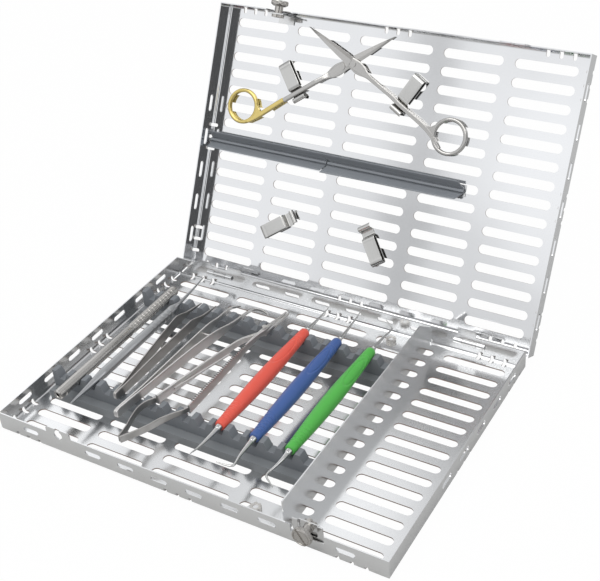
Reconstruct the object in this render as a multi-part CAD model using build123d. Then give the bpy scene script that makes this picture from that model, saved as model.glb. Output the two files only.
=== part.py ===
from build123d import *
import math
import os

# Dental instrument cassette: two perforated sheet-steel trays on a back hinge, with comb rails,
# a divider, a hold-down bar, spring clips, two turn latches and the set of instruments it carries.
# Millimetres. Origin: centre of the base tray's footprint, on the face it rests on. X is to the
# right, Y to the hinge, Z up. The lid and all that it carries are laid out in the closed position
# and swung open at the end.

# ---- driving dimensions: trays ----
LENGTH = 280.0
DEPTH = 198.5
CLOSED_HEIGHT = 29.4
SHEET = 0.8
BEND_RADIUS = 2.6
RIM_GAP = 0.2
LID_OPEN = 117.5

# ---- slot pattern of floor and lid panel ----
SLOT_PITCH = 12.5
SLOT_ROWS = 15
SLOT_WIDTH = 6.4
SIDE_SLOT_LENGTH = 43.0
MIDDLE_SLOT_LENGTH = 56.0
INNER_COLUMN_X = 57.6
OUTER_COLUMN_X = 108.6
WALL_SLOT_LENGTH = 12.3
WALL_SLOT_WIDTH = 3.5
WALL_SLOT_PITCH = 25.2
WALL_SLOT_DROP = 5.9
FRONT_SLOT_STEPS = (-4.5, -2.5, -1.5, -0.5, 0.5, 1.5, 2.5, 4.5)
BACK_SLOT_STEPS = (-2.5, -1.5, -0.5, 0.5, 1.5, 2.5)
SIDE_SLOT_STEPS = (-3, -2, -1, 0, 1, 2, 3)
RELIEF_WIDTH = 2.5
RELIEF_PITCH = 9.0
RELIEF_REACH = 5.0
RELIEF_RISE = 4.0
RELIEF_FRONT_X = 117.0
RELIEF_SIDE_Y = 79.5

# ---- hinge ----
HINGE_Z = 9.1
HINGE_INSET = 0.65
HINGE_X = 100.7
HINGE_WIDTH = 22.0
LID_KNUCKLE_WIDTH = 10.0
KNUCKLE_DIAMETER = 3.8
PIN_DIAMETER = 2.0
RUNNING_GAP = 0.05
KNUCKLE_END_GAP = 0.25
WINDOW_GAP = 0.6
LEAF_GAP = 0.2
LEAF_REACH = 10.0
TONGUES = ((-119.8, -108.0, 3.2), (-93.4, -81.0, 3.2), (92.3, 105.2, 4.8))
TONGUE_GAP = 0.6

# ---- latches ----
LATCH_X = 89.5
KEY_TAB_WIDTH = 19.0
KEY_TAB_RISE = 4.5
KEY_HOLE_DIAMETER = 6.6
KEY_SLOT_WIDTH = 3.4
LATCH_NOTCH_GAP = 1.2
LATCH_NECK_DIAMETER = 6.0
LATCH_FLAT_WIDTH = 3.0
LATCH_HEAD_DIAMETER = 12.4
LATCH_HEAD_LENGTH = 4.0
LATCH_HEAD_GAP = 2.4
COIN_SLOT_WIDTH = 1.6
COIN_SLOT_DEPTH = 1.2
BRACKET_INSET = 2.6
BRACKET_WIDTH = 13.0
BRACKET_FOOT = 6.0
BRACKET_RISE = 4.0
EAR_PLATE_WIDTH = 19.4
EAR_PLATE_GAP = 0.4
EAR_NOTCH_WIDTH = 12.5
NUT_DIAMETER = 9.0
NUT_LENGTH = 2.0

# ---- divider ----
DIVIDER_X = 72.6
DIVIDER_TOP = 26.3
DIVIDER_FRONT_GAP = 3.6
DIVIDER_BACK_GAP = 0.6
DIVIDER_CHAMFER_Y = 82.0
FOOT_LENGTH = 30.0
FOOT_DEPTH = 17.0
FOOT_CORNER = 4.0
STUD_DIAMETER = 3.4
PETAL_DIAMETER = 7.2
PETAL_HEIGHT = 2.2

# ---- comb rails ----
NOTCH_COUNT = 16
NOTCH_PITCH = 12.5
NOTCH_FIRST_X = -123.7
NOTCH_FLOOR_Z = 14.4
COMB_TOP_Z = 20.0
NOTCH_FLOOR_WIDTH = 4.2
NOTCH_TOP_WIDTH = 9.2
COMB_THICKNESS = 6.5
RAIL_SPACING = 99.2
FRONT_COMB_Y = -51.35
HOLDER_STEP = 6.0
HOLDER_TOP_Z = 7.0
COMB_ROOT_WIDTH = 2.6
COMB_ROOT_DEPTH = 2.5
RAIL_OVERHANG = 8.0
RAIL_FOOT_LENGTH = 20.0
FOOT_SLOT_GAP = 0.3

# ---- hold-down bar ----
BAR_V = -1.5
BAR_CHANNEL_WIDTH = 8.0
BAR_CHANNEL_SHEET = 0.6
BAR_LEFT_GAP = 2.2
BAR_RIGHT_X = 70.8
BAR_JOINT_X = -38.5
BAR_JOINT_GAP = 0.4
LIP_SPREAD = 5.8
LIP_HEIGHT = 6.6
LIP_THICKNESS = 1.2
BAR_RIVET_DIAMETER = 3.0

# ---- spring clips: groove centre (x, distance from the panel centre) and heading of the bend ----
CLIPS = {
    "clip_free_left": (-70.3, 43.7, 125.5),
    "clip_free_right": (12.2, 47.7, 60.2),
    "clip_hinge_left": (-60.1, -48.3, 216.0),
    "clip_hinge_right": (4.5, -45.0, -55.7),
}
CLIP_WIDTH = 10.0
CLIP_SHEET = 0.5
CLIP_REACH = 23.5
CLIP_HEIGHT = 4.4
CLIP_GROOVE_WIDTH = 4.8
CLIP_LIP = 1.6
CLIP_RIVET_ROW = 56.25
CLIP_RIVET_DIAMETER = 2.4

# ---- instruments ----
GRIP_LENGTH = 105.0
GRIP_DIAMETER = 10.4
GRIP_END_DIAMETER = 7.5
CORE_DIAMETER = 4.0
HANDLE_DIAMETER = 7.2
PROBE_DIAMETER = 6.8
SEAT_GAP = 0.15
LEG_THICKNESS = 1.1
LEG_HEIGHT = 8.2
HOLDER_LEG_HEIGHT = 7.0
LEG_SEAT_GAP = 0.05
LEG_TILT = 0.93
HOLDER_TILT = 1.1
HOLDER_BOTTOM_Z = 15.5
SCISSOR_BLADE = 45.0
SCISSOR_RING_OUTER = 13.2
SCISSOR_RING_INNER = 10.2
SCISSOR_SHANK_WIDTH = 3.6
SCISSOR_BOX_WIDTH = 8.0
SCISSOR_LAYER_GAP = 0.1
SCISSOR_SCREW_DIAMETER = 3.0
SCISSOR_GRIP_LAYER = (0.6, 3.7)
SCISSOR_TAIL = 30.0

# ---- dependent sizes ----
TRAY_HEIGHT = CLOSED_HEIGHT / 2
FRONT_Y = -DEPTH / 2
BACK_Y = DEPTH / 2
RIGHT_X = LENGTH / 2
HINGE_Y = BACK_Y - HINGE_INSET
LID_RIM_Z = TRAY_HEIGHT + RIM_GAP
PANEL_IN_Z = CLOSED_HEIGHT - SHEET
HINGE_AXIS = Axis((0, HINGE_Y, HINGE_Z), (1, 0, 0))

os.makedirs("parts", exist_ok=True)
FLAT = (Align.CENTER, Align.CENTER, Align.MIN)


def block(x0, x1, y0, y1, z0, z1):
    """A box between two corners."""
    return Pos((x0 + x1) / 2, (y0 + y1) / 2, (z0 + z1) / 2) * Box(x1 - x0, y1 - y0, z1 - z0)


def rod(start, end, r0, r1):
    """A round bar from start to end, tapering from radius r0 to r1."""
    a, b = Vector(*start), Vector(*end)
    place = Plane(origin=a, z_dir=b - a)
    length = (b - a).length
    if abs(r0 - r1) < 1e-6:
        return place * Cylinder(r0, length, align=FLAT)
    return place * Cone(r0, r1, length, align=FLAT)


def bent_wire(points, radii):
    """Tapering wire through the points, with a slightly fuller ball at each turn."""
    wire = rod(points[0], points[1], radii[0], radii[1])
    for i in range(1, len(points) - 1):
        wire += Pos(*points[i]) * Sphere(radii[i] * 1.05)
        wire += rod(points[i], points[i + 1], radii[i], radii[i + 1])
    return wire


def turned(x, z, profile):
    """A piece turned about a line along Y, from a list of (y, radius)."""
    outline = [(0, profile[0][0])] + [(radius, y) for y, radius in profile] + [(0, profile[-1][0])]
    body = revolve(Plane.XZ * make_face(Polyline(*outline, close=True)), Axis.Z)
    return Plane(origin=(x, 0, z), z_dir=(0, 1, 0)) * body


def y_cylinder(x, z, y0, y1, radius):
    """A round bar along Y from y0 to y1."""
    return rod((x, y0, z), (x, y1, z), radius, radius)


def save(name, shape):
    """Write one node."""
    export_step(shape, "parts/" + name + ".step")


def on_lid(shape):
    """Swing a piece laid out in the closed position open with the lid."""
    return shape.rotate(HINGE_AXIS, -LID_OPEN)


def lid_plate(outline, h0, h1):
    """Extrude an outline drawn in panel coordinates (x, v) between two depths below the panel.

    v runs from the hinge towards the lid's free edge, h is measured down from the inner face.
    """
    solid = extrude(outline, h1 - h0)
    return Pos(0, 0, PANEL_IN_Z - h0) * solid.rotate(Axis.X, 180)


# ---- trays ----
def tray_shell(height):
    """Open box bent from one sheet, floor down."""
    outer = block(-RIGHT_X, RIGHT_X, FRONT_Y, BACK_Y, 0, height)
    outer = fillet(outer.faces().sort_by(Axis.Z)[0].edges(), BEND_RADIUS)
    inner = block(-RIGHT_X + SHEET, RIGHT_X - SHEET, FRONT_Y + SHEET, BACK_Y - SHEET, SHEET, height + 1)
    inner = fillet(inner.faces().sort_by(Axis.Z)[0].edges(), BEND_RADIUS - SHEET)
    return outer - inner


def floor_slots():
    """The grid of long slots through the floor."""
    columns = ((-OUTER_COLUMN_X, SIDE_SLOT_LENGTH), (-INNER_COLUMN_X, SIDE_SLOT_LENGTH),
               (0, MIDDLE_SLOT_LENGTH), (INNER_COLUMN_X, SIDE_SLOT_LENGTH),
               (OUTER_COLUMN_X, SIDE_SLOT_LENGTH))
    half = SLOT_ROWS // 2
    slots = []
    for x, length in columns:
        for row in range(-half, half + 1):
            slots.append(Pos(x, row * SLOT_PITCH) * SlotOverall(length, SLOT_WIDTH))
    return extrude(Sketch() + slots, SHEET * 2, both=True)


def wall_slot(x, y, z, along_x):
    """One short slot through a wall, lying level."""
    cutter = Rot(90, 0, 0) * extrude(SlotOverall(WALL_SLOT_LENGTH, WALL_SLOT_WIDTH), SHEET * 2, both=True)
    return Pos(x, y, z) * (cutter if along_x else Rot(0, 0, 90) * cutter)


def wall_slots(z, plain_side):
    """Rows of slots in all walls, in steps of their pitch from the middle of each wall.

    The side wall on the plain side has none next to the front corner.
    """
    cuts = [wall_slot(step * WALL_SLOT_PITCH, FRONT_Y, z, True) for step in FRONT_SLOT_STEPS]
    cuts += [wall_slot(step * WALL_SLOT_PITCH, BACK_Y, z, True) for step in BACK_SLOT_STEPS]
    for side in (-1, 1):
        steps = [step for step in SIDE_SLOT_STEPS if side != plain_side or step > -2]
        cuts += [wall_slot(side * RIGHT_X, step * WALL_SLOT_PITCH, z, False) for step in steps]
    return cuts


def relief(x, y, along_x):
    """One drain slot that crosses the bend between the floor and a wall."""
    reach, rise = 2 * RELIEF_REACH, 2 * RELIEF_RISE
    plan = extrude(SlotOverall(reach, RELIEF_WIDTH), rise, both=True)
    upright = Rot(0, -90, 0) * extrude(SlotOverall(rise, RELIEF_WIDTH), reach, both=True)
    cutter = plan & upright
    return Pos(x, y, 0) * (Rot(0, 0, 90) * cutter if along_x else cutter)


def relief_groups(plain_side, front):
    """Groups of three drain slots on every bend, but none by the plain side's front corner."""
    cuts = []
    for step in (-1, 0, 1):
        shift = step * RELIEF_PITCH
        for y in (FRONT_Y, BACK_Y):
            for x in (-RELIEF_FRONT_X, 0, RELIEF_FRONT_X):
                cuts.append(relief(x + shift, y, True))
        for side in (-1, 1):
            for group in (-1, 0, 1):
                if (side, group) != (plain_side, front):
                    cuts.append(relief(side * RIGHT_X, group * RELIEF_SIDE_Y + shift, False))
    return cuts


def key_tab(x, rim_z, direction):
    """Keyhole tab on a rim; its slot opens away from the rim so the neck can enter."""
    tip = rim_z + direction * KEY_TAB_RISE
    low, high = sorted((rim_z - direction, tip))
    tab = block(x - KEY_TAB_WIDTH / 2, x + KEY_TAB_WIDTH / 2, FRONT_Y, FRONT_Y + SHEET, low, high)
    corners = tab.edges().filter_by(Axis.Y).group_by(Axis.Z)[-1 if direction > 0 else 0]
    return fillet(corners, 2.0)


def key_cut(x, direction):
    """Keyhole: round hole on the parting line with a narrow slot to the tab's edge."""
    half = KEY_SLOT_WIDTH / 2
    hole = y_cylinder(x, TRAY_HEIGHT, FRONT_Y - SHEET, FRONT_Y + 2 * SHEET, KEY_HOLE_DIAMETER / 2)
    low, high = sorted((TRAY_HEIGHT, TRAY_HEIGHT + direction * 2 * KEY_TAB_RISE))
    return hole + block(x - half, x + half, FRONT_Y - SHEET, FRONT_Y + 2 * SHEET, low, high)


def latch_notch(x, direction):
    """Cut-out in the opposite wall that takes a keyhole tab with its neck."""
    half = KEY_TAB_WIDTH / 2 + LATCH_NOTCH_GAP
    depth = KEY_TAB_RISE + LATCH_NOTCH_GAP
    low, high = sorted((TRAY_HEIGHT - direction * 2, TRAY_HEIGHT + direction * depth))
    return block(x - half, x + half, FRONT_Y - SHEET, FRONT_Y + 1.2 * SHEET, low, high)


def knuckle(x0, x1):
    """Rolled hinge barrel round the pin."""
    barrel = rod((x0, HINGE_Y, HINGE_Z), (x1, HINGE_Y, HINGE_Z), KNUCKLE_DIAMETER / 2, KNUCKLE_DIAMETER / 2)
    return barrel


def pin_hole(x, radius):
    """Bore for the hinge pin across one hinge."""
    half = HINGE_WIDTH / 2 + 1
    return rod((x - half, HINGE_Y, HINGE_Z), (x + half, HINGE_Y, HINGE_Z), radius, radius)


def base_tray():
    tray = tray_shell(TRAY_HEIGHT)
    for x0, x1, rise in TONGUES:
        tray += block(x0, x1, BACK_Y - SHEET, BACK_Y, TRAY_HEIGHT - 1, TRAY_HEIGHT + rise)
    tray += key_tab(-LATCH_X, TRAY_HEIGHT, 1)
    cuts = [floor_slots(), key_cut(-LATCH_X, 1), latch_notch(LATCH_X, -1)]
    cuts += wall_slots(TRAY_HEIGHT - WALL_SLOT_DROP, 1)
    cuts += relief_groups(1, -1)
    for x in (-HINGE_X, HINGE_X):
        half = LID_KNUCKLE_WIDTH / 2 + KNUCKLE_END_GAP
        cuts.append(block(x - half, x + half, BACK_Y - 2 * SHEET, BACK_Y + SHEET,
                          HINGE_Z - KNUCKLE_DIAMETER / 2 - WINDOW_GAP,
                          HINGE_Z + KNUCKLE_DIAMETER / 2 + WINDOW_GAP))
    tray -= cuts
    for x in (-HINGE_X, HINGE_X):
        inner = LID_KNUCKLE_WIDTH / 2 + KNUCKLE_END_GAP
        tray += knuckle(x - HINGE_WIDTH / 2, x - inner)
        tray += knuckle(x + inner, x + HINGE_WIDTH / 2)
        tray -= pin_hole(x, PIN_DIAMETER / 2)
    return tray


def lid_tray():
    """The lid in the closed position."""
    shell = tray_shell(CLOSED_HEIGHT - LID_RIM_Z)
    shell -= [floor_slots()] + relief_groups(-1, 1)
    tray = Pos(0, 0, CLOSED_HEIGHT) * shell.rotate(Axis.X, 180)
    tray -= wall_slots(LID_RIM_Z + WALL_SLOT_DROP, -1)
    tray += key_tab(LATCH_X, LID_RIM_Z, -1)
    tray -= [key_cut(LATCH_X, -1), latch_notch(-LATCH_X, 1)]
    for x0, x1, rise in TONGUES:
        tray -= block(x0 - TONGUE_GAP, x1 + TONGUE_GAP, BACK_Y - 1.2 * SHEET, BACK_Y + SHEET,
                      LID_RIM_Z - 1, TRAY_HEIGHT + rise + TONGUE_GAP)
    return tray


def hinge_leaf(x):
    """Leaf welded outside the lid's back wall, rolled round the pin below it."""
    half = LID_KNUCKLE_WIDTH / 2
    wall_top = LID_RIM_Z + LEAF_REACH
    lower = block(x - half, x + half, BACK_Y + LEAF_GAP, BACK_Y + LEAF_GAP + SHEET, HINGE_Z, LID_RIM_Z + 1)
    upper = block(x - half, x + half, BACK_Y, BACK_Y + SHEET, LID_RIM_Z + 0.5, wall_top)
    leaf = knuckle(x - half, x + half) + lower + upper
    return leaf - pin_hole(x, PIN_DIAMETER / 2 + RUNNING_GAP)


def hinge_pins():
    """Both pins, each held in the outer barrels of its hinge."""
    half = HINGE_WIDTH / 2
    return [rod((x - half, HINGE_Y, HINGE_Z), (x + half, HINGE_Y, HINGE_Z), PIN_DIAMETER / 2, PIN_DIAMETER / 2)
            for x in (-HINGE_X, HINGE_X)]


# ---- latches ----
BRACKET_Y = FRONT_Y + BRACKET_INSET
HEAD_BACK_Y = FRONT_Y - LATCH_HEAD_GAP


def latch_bracket(x, foot_z, direction):
    """L-shaped plate behind the wall that carries the latch neck."""
    half = BRACKET_WIDTH / 2
    end = TRAY_HEIGHT + direction * BRACKET_RISE
    low, high = sorted((foot_z, end))
    plate = block(x - half, x + half, BRACKET_Y, BRACKET_Y + SHEET, low, high)
    low, high = sorted((foot_z, foot_z + direction * SHEET))
    foot = block(x - half, x + half, BRACKET_Y, BRACKET_Y + BRACKET_FOOT, low, high)
    hole = y_cylinder(x, TRAY_HEIGHT, BRACKET_Y - 1, BRACKET_Y + SHEET + 1,
                      LATCH_NECK_DIAMETER / 2 + RUNNING_GAP)
    return plate + foot - hole


def latch_knob(x):
    """Round slotted head and neck; two flats on the neck let it into the keyhole's slot."""
    radius = LATCH_HEAD_DIAMETER / 2
    head = y_cylinder(x, TRAY_HEIGHT, HEAD_BACK_Y - LATCH_HEAD_LENGTH, HEAD_BACK_Y, radius)
    head = chamfer(head.edges().filter_by(GeomType.CIRCLE).sort_by(Axis.Y)[-1], 1.0)
    head = fillet(head.edges().filter_by(GeomType.CIRCLE).sort_by(Axis.Y)[0], 0.5)
    coin = Box(LATCH_HEAD_DIAMETER + 2, 2 * COIN_SLOT_DEPTH, COIN_SLOT_WIDTH)
    head -= Pos(x, HEAD_BACK_Y - LATCH_HEAD_LENGTH, TRAY_HEIGHT) * Rot(0, 45, 0) * coin
    neck = y_cylinder(x, TRAY_HEIGHT, HEAD_BACK_Y - 1, BRACKET_Y + SHEET + NUT_LENGTH,
                      LATCH_NECK_DIAMETER / 2)
    flat_end = BRACKET_Y - 0.4
    for side in (-1, 1):
        edges = sorted((x + side * LATCH_FLAT_WIDTH / 2, x + side * LATCH_NECK_DIAMETER))
        neck -= block(edges[0], edges[1], HEAD_BACK_Y, flat_end,
                      TRAY_HEIGHT - LATCH_NECK_DIAMETER, TRAY_HEIGHT + LATCH_NECK_DIAMETER)
    return head + neck


def star_nut(x):
    """Six-lobed nut on the neck's inner end."""
    start = BRACKET_Y + SHEET + RUNNING_GAP
    end = BRACKET_Y + SHEET + NUT_LENGTH
    nut = y_cylinder(x, TRAY_HEIGHT, start, end, NUT_DIAMETER / 2)
    for i in range(6):
        angle = math.radians(60 * i)
        lobe_x = x + NUT_DIAMETER / 2 * math.cos(angle)
        lobe_z = TRAY_HEIGHT + NUT_DIAMETER / 2 * math.sin(angle)
        nut -= y_cylinder(lobe_x, lobe_z, start - 1, end + 1, NUT_DIAMETER * 0.13)
    return nut - y_cylinder(x, TRAY_HEIGHT, start - 1, end + 1, LATCH_NECK_DIAMETER / 2)


def ear_plate():
    """Guide plate just inside the base's front wall, with the notch for the right latch's neck."""
    x, half = LATCH_X, EAR_PLATE_WIDTH / 2
    outer_y = FRONT_Y + SHEET + EAR_PLATE_GAP
    low = BEND_RADIUS + SHEET
    plate = block(x - half, x + half, outer_y, outer_y + SHEET, low, TRAY_HEIGHT + KEY_TAB_RISE)
    notch = block(x - EAR_NOTCH_WIDTH / 2, x + EAR_NOTCH_WIDTH / 2, outer_y - 1, outer_y + 2,
                  TRAY_HEIGHT - KEY_TAB_RISE, TRAY_HEIGHT + 2 * KEY_TAB_RISE)
    notch = fillet(notch.edges().filter_by(Axis.Y).group_by(Axis.Z)[0], 2.0)
    plate -= notch
    for side in (-1, 1):
        plate += y_cylinder(x + side * (half - 3), low + 2.5, FRONT_Y + SHEET, outer_y + SHEET / 2, 1.5)
    return plate


# ---- divider ----
def divider():
    """Upright polished plate with two feet folded flat along the floor."""
    front, back = FRONT_Y + DIVIDER_FRONT_GAP, BACK_Y - SHEET - DIVIDER_BACK_GAP
    outline = Polyline((front, SHEET), (front, DIVIDER_TOP), (DIVIDER_CHAMFER_Y, DIVIDER_TOP),
                       (back, TRAY_HEIGHT - 0.5), (back, SHEET + BEND_RADIUS), (back - BEND_RADIUS, SHEET),
                       close=True)
    face = Plane.YZ.offset(DIVIDER_X) * make_face(outline)
    plate = extrude(face, SHEET / 2, both=True)
    for y in divider_foot_centres():
        foot = Pos(DIVIDER_X - FOOT_LENGTH / 2, y, SHEET) * Box(FOOT_LENGTH, FOOT_DEPTH, SHEET, align=FLAT)
        foot = fillet(foot.edges().filter_by(Axis.Z).group_by(Axis.X)[0], FOOT_CORNER)
        foot -= rod((stud_x(), y, 0), (stud_x(), y, 3 * SHEET), STUD_DIAMETER / 2 + RUNNING_GAP,
                    STUD_DIAMETER / 2 + RUNNING_GAP)
        plate += foot
    return plate


def divider_foot_centres():
    """The feet lie over the first and the last row of floor slots."""
    row = SLOT_ROWS // 2 * SLOT_PITCH
    return (-row, row)


def stud_x():
    """Clamp studs stand in the slot column beside the divider."""
    return DIVIDER_X - FOOT_LENGTH + 5.0


def divider_studs():
    """Flat-headed studs that sit in the floor slots."""
    studs = []
    for y in divider_foot_centres():
        head = Pos(stud_x(), y, 0) * extrude(SlotOverall(12, SLOT_WIDTH - 2 * FOOT_SLOT_GAP), SHEET)
        shank = Pos(stud_x(), y, SHEET / 2) * Cylinder(STUD_DIAMETER / 2, PETAL_HEIGHT + SHEET, align=FLAT)
        studs.append(head + shank)
    return studs


def petal_nuts():
    """Six-lobed nuts that clamp the divider's feet."""
    nuts = []
    low, high = 2 * SHEET, 2 * SHEET + PETAL_HEIGHT
    for y in divider_foot_centres():
        nut = rod((stud_x(), y, low), (stud_x(), y, high), PETAL_DIAMETER / 2, PETAL_DIAMETER / 2)
        for i in range(6):
            angle = math.radians(60 * i + 30)
            x_lobe = stud_x() + PETAL_DIAMETER / 2 * math.cos(angle)
            y_lobe = y + PETAL_DIAMETER / 2 * math.sin(angle)
            nut -= rod((x_lobe, y_lobe, low - 1), (x_lobe, y_lobe, high + 1), 0.8, 0.8)
        nut -= rod((stud_x(), y, 0), (stud_x(), y, high + 1), STUD_DIAMETER / 2, STUD_DIAMETER / 2)
        nuts.append(nut)
    return nuts


# ---- comb rails ----
RAIL_X0 = NOTCH_FIRST_X - RAIL_OVERHANG
RAIL_X1 = NOTCH_FIRST_X + (NOTCH_COUNT - 1) * NOTCH_PITCH + 5.0


def notch_x(k):
    """Centre of notch k, counted from the left."""
    return NOTCH_FIRST_X + k * NOTCH_PITCH


def comb(y):
    """Silicone comb: a toothed wall with a root that sits in its holder."""
    half = COMB_THICKNESS / 2
    points = [(RAIL_X0, HOLDER_TOP_Z), (RAIL_X0, COMB_TOP_Z)]
    for k in range(NOTCH_COUNT):
        x = notch_x(k)
        points += [(x - NOTCH_TOP_WIDTH / 2, COMB_TOP_Z), (x - NOTCH_FLOOR_WIDTH / 2, NOTCH_FLOOR_Z),
                   (x + NOTCH_FLOOR_WIDTH / 2, NOTCH_FLOOR_Z), (x + NOTCH_TOP_WIDTH / 2, COMB_TOP_Z)]
    points = [p for p in points if p[0] <= RAIL_X1] + [(RAIL_X1, COMB_TOP_Z), (RAIL_X1, HOLDER_TOP_Z)]
    wall = extrude(Plane.XZ.offset(-y) * make_face(Polyline(*points, close=True)), half, both=True)
    root = block(RAIL_X0 + 2, RAIL_X1 - 2, y - COMB_ROOT_WIDTH / 2, y + COMB_ROOT_WIDTH / 2,
                 HOLDER_TOP_Z - COMB_ROOT_DEPTH, HOLDER_TOP_Z + 1)
    return wall + root


def comb_holder(y):
    """Moulded strip under the comb, with feet pressed into the floor slots."""
    front, back = y - COMB_THICKNESS / 2 - HOLDER_STEP, y + COMB_THICKNESS / 2
    holder = block(RAIL_X0, RAIL_X1, front, back, SHEET, HOLDER_TOP_Z)
    holder -= block(RAIL_X0 + 2, RAIL_X1 - 2, y - COMB_ROOT_WIDTH / 2, y + COMB_ROOT_WIDTH / 2,
                    HOLDER_TOP_Z - COMB_ROOT_DEPTH, HOLDER_TOP_Z + 1)
    row = round((y - HOLDER_STEP / 2) / SLOT_PITCH) * SLOT_PITCH
    low = max(front, row - SLOT_WIDTH / 2 + FOOT_SLOT_GAP)
    high = min(back, row + SLOT_WIDTH / 2 - FOOT_SLOT_GAP)
    for x in (-OUTER_COLUMN_X, -INNER_COLUMN_X, 0, INNER_COLUMN_X - RAIL_FOOT_LENGTH * 0.4):
        holder += block(x - RAIL_FOOT_LENGTH / 2, x + RAIL_FOOT_LENGTH / 2, low, high, SHEET / 4, SHEET + 1)
    return holder


# ---- hold-down bar, in panel coordinates: v = -y, h = depth below the panel's inner face ----
BAR_X0 = -RIGHT_X + SHEET + BAR_LEFT_GAP


def bar_channel():
    """Steel strip riveted across the lid between the slot columns."""
    half = BAR_CHANNEL_WIDTH / 2
    low, high = PANEL_IN_Z - BAR_CHANNEL_SHEET, PANEL_IN_Z
    strip = block(BAR_X0, BAR_RIGHT_X, -BAR_V - half, -BAR_V + half, low, high)
    for x in bar_rivet_xs():
        strip -= rod((x, -BAR_V, low - 1), (x, -BAR_V, high + 1), BAR_RIVET_DIAMETER / 2, BAR_RIVET_DIAMETER / 2)
    return strip


def bar_rivet_xs():
    """Rivets go through the solid metal between the slot columns."""
    outer = (OUTER_COLUMN_X + INNER_COLUMN_X) / 2
    inner = (INNER_COLUMN_X - SIDE_SLOT_LENGTH / 2 + MIDDLE_SLOT_LENGTH / 2) / 2
    return (-outer, -inner, inner)


def bar_rivets():
    """Flush rivets, from the lid's outer face to the channel."""
    radius = BAR_RIVET_DIAMETER / 2
    return [rod((x, -BAR_V, PANEL_IN_Z - BAR_CHANNEL_SHEET), (x, -BAR_V, CLOSED_HEIGHT), radius, radius)
            for x in bar_rivet_xs()]


def hold_down_strip(x0, x1):
    """Silicone strip with two springy lips in a V that press on the instruments."""
    y = -BAR_V
    top = PANEL_IN_Z - BAR_CHANNEL_SHEET
    foot, tip = 2.0, top - LIP_HEIGHT
    outline = Polyline((y - foot, top), (y - LIP_SPREAD, tip + 0.4), (y - LIP_SPREAD + LIP_THICKNESS, tip),
                       (y, top - LIP_THICKNESS), (y + LIP_SPREAD - LIP_THICKNESS, tip),
                       (y + LIP_SPREAD, tip + 0.4), (y + foot, top), close=True)
    face = Plane.YZ.offset(x0) * make_face(outline)
    return extrude(face, x1 - x0)


# ---- spring clips ----
def clip_place(name):
    """Frame at the clip's groove: local x towards the bend, local z down from the panel."""
    x, v, heading = CLIPS[name]
    a = math.radians(heading)
    return Plane(origin=(x, -v, PANEL_IN_Z), x_dir=(math.cos(a), -math.sin(a), 0), z_dir=(0, 0, -1))


def clip_rivet_u(name):
    """Distance from the groove to the rivet, which sits on a bar of metal between two slot rows."""
    _, v, heading = CLIPS[name]
    row = math.copysign(CLIP_RIVET_ROW, v)
    return (row - v) / math.sin(math.radians(heading))


def clip(name):
    """Spring steel strip: foot on the panel, bend, rising top leg, groove and lip."""
    t, half, top = CLIP_SHEET, CLIP_GROOVE_WIDTH / 2, CLIP_HEIGHT
    end = CLIP_REACH
    outline = Polyline((half + 2.2, 0), (end - 1, 0), (end, 1.0), (end, top - 2.2), (end - 1.2, top - 1.2),
                       (half + t + 0.6, top), (half, top - 0.4), (half - 0.4, t), (0.4 - half, t),
                       (-half, top - 0.4), (-half - CLIP_LIP, top - 0.9), (-half - CLIP_LIP, top - 0.9 - t),
                       (-half - t, top - 0.9 - t), (-half - t + 0.3, 0), (half + t - 0.3, 0),
                       (half + t + 0.3, top - t - 0.5), (end - 1.6, top - 1.2 - t),
                       (end - t, top - 2.6), (end - t, t + 0.8), (end - t - 0.8, t), (half + 2.2, t),
                       close=True)
    strip = extrude(Plane.XZ * make_face(outline), CLIP_WIDTH / 2, both=True)
    hole = Pos(clip_rivet_u(name), 0, -1) * Cylinder(CLIP_RIVET_DIAMETER / 2 + RUNNING_GAP, t + 2, align=FLAT)
    return clip_place(name) * (strip - hole)


def clip_rivet(name):
    """Flush rivet with a low head inside the clip; the clip can be turned about it."""
    u, t = clip_rivet_u(name), CLIP_SHEET
    shank = Pos(u, 0, -SHEET) * Cylinder(CLIP_RIVET_DIAMETER / 2, SHEET + t + RUNNING_GAP, align=FLAT)
    head = Pos(u, 0, t + RUNNING_GAP) * Cylinder(CLIP_RIVET_DIAMETER * 0.85, 0.6, align=FLAT)
    return clip_place(name) * (shank + head)


def rivet_holes():
    """Holes in the lid panel for all rivets."""
    cuts = [rod((x, -BAR_V, PANEL_IN_Z - 1), (x, -BAR_V, CLOSED_HEIGHT + 1), BAR_RIVET_DIAMETER / 2,
                BAR_RIVET_DIAMETER / 2) for x in bar_rivet_xs()]
    for name in CLIPS:
        hole = Pos(clip_rivet_u(name), 0, -2 * SHEET) * Cylinder(CLIP_RIVET_DIAMETER / 2, 3 * SHEET, align=FLAT)
        cuts.append(clip_place(name) * hole)
    return cuts


# ---- scissors, in panel coordinates ----
# pivot, heading of the blades, ring centre, shank line from the ring to the joint, blade depths
SCISSORS = {
    "scissors_gold": ((-37.7, 66.9), 35.5, (-114.0, 27.1), ((-104.0, 20.5), (-92.6, 27.8), (-57.2, 53.0)),
                      (0.3, 1.8)),
    "scissors_steel": ((-28.6, 70.2), 152.0, (52.3, 32.4), ((46.0, 25.0), (32.6, 36.0), (-7.4, 58.9)),
                       (2.0, 3.7)),
}


def band(points, half):
    """Flat strip of even width along a line of points."""
    strip = Sketch()
    for start, end in zip(points, points[1:]):
        dx, dy = end[0] - start[0], end[1] - start[1]
        run = math.hypot(dx, dy)
        turn = math.degrees(math.atan2(dy, dx))
        middle = Pos((start[0] + end[0]) / 2, (start[1] + end[1]) / 2)
        strip += middle * Rot(0, 0, turn) * SlotOverall(run + 2 * half, 2 * half)
    return strip


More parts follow.
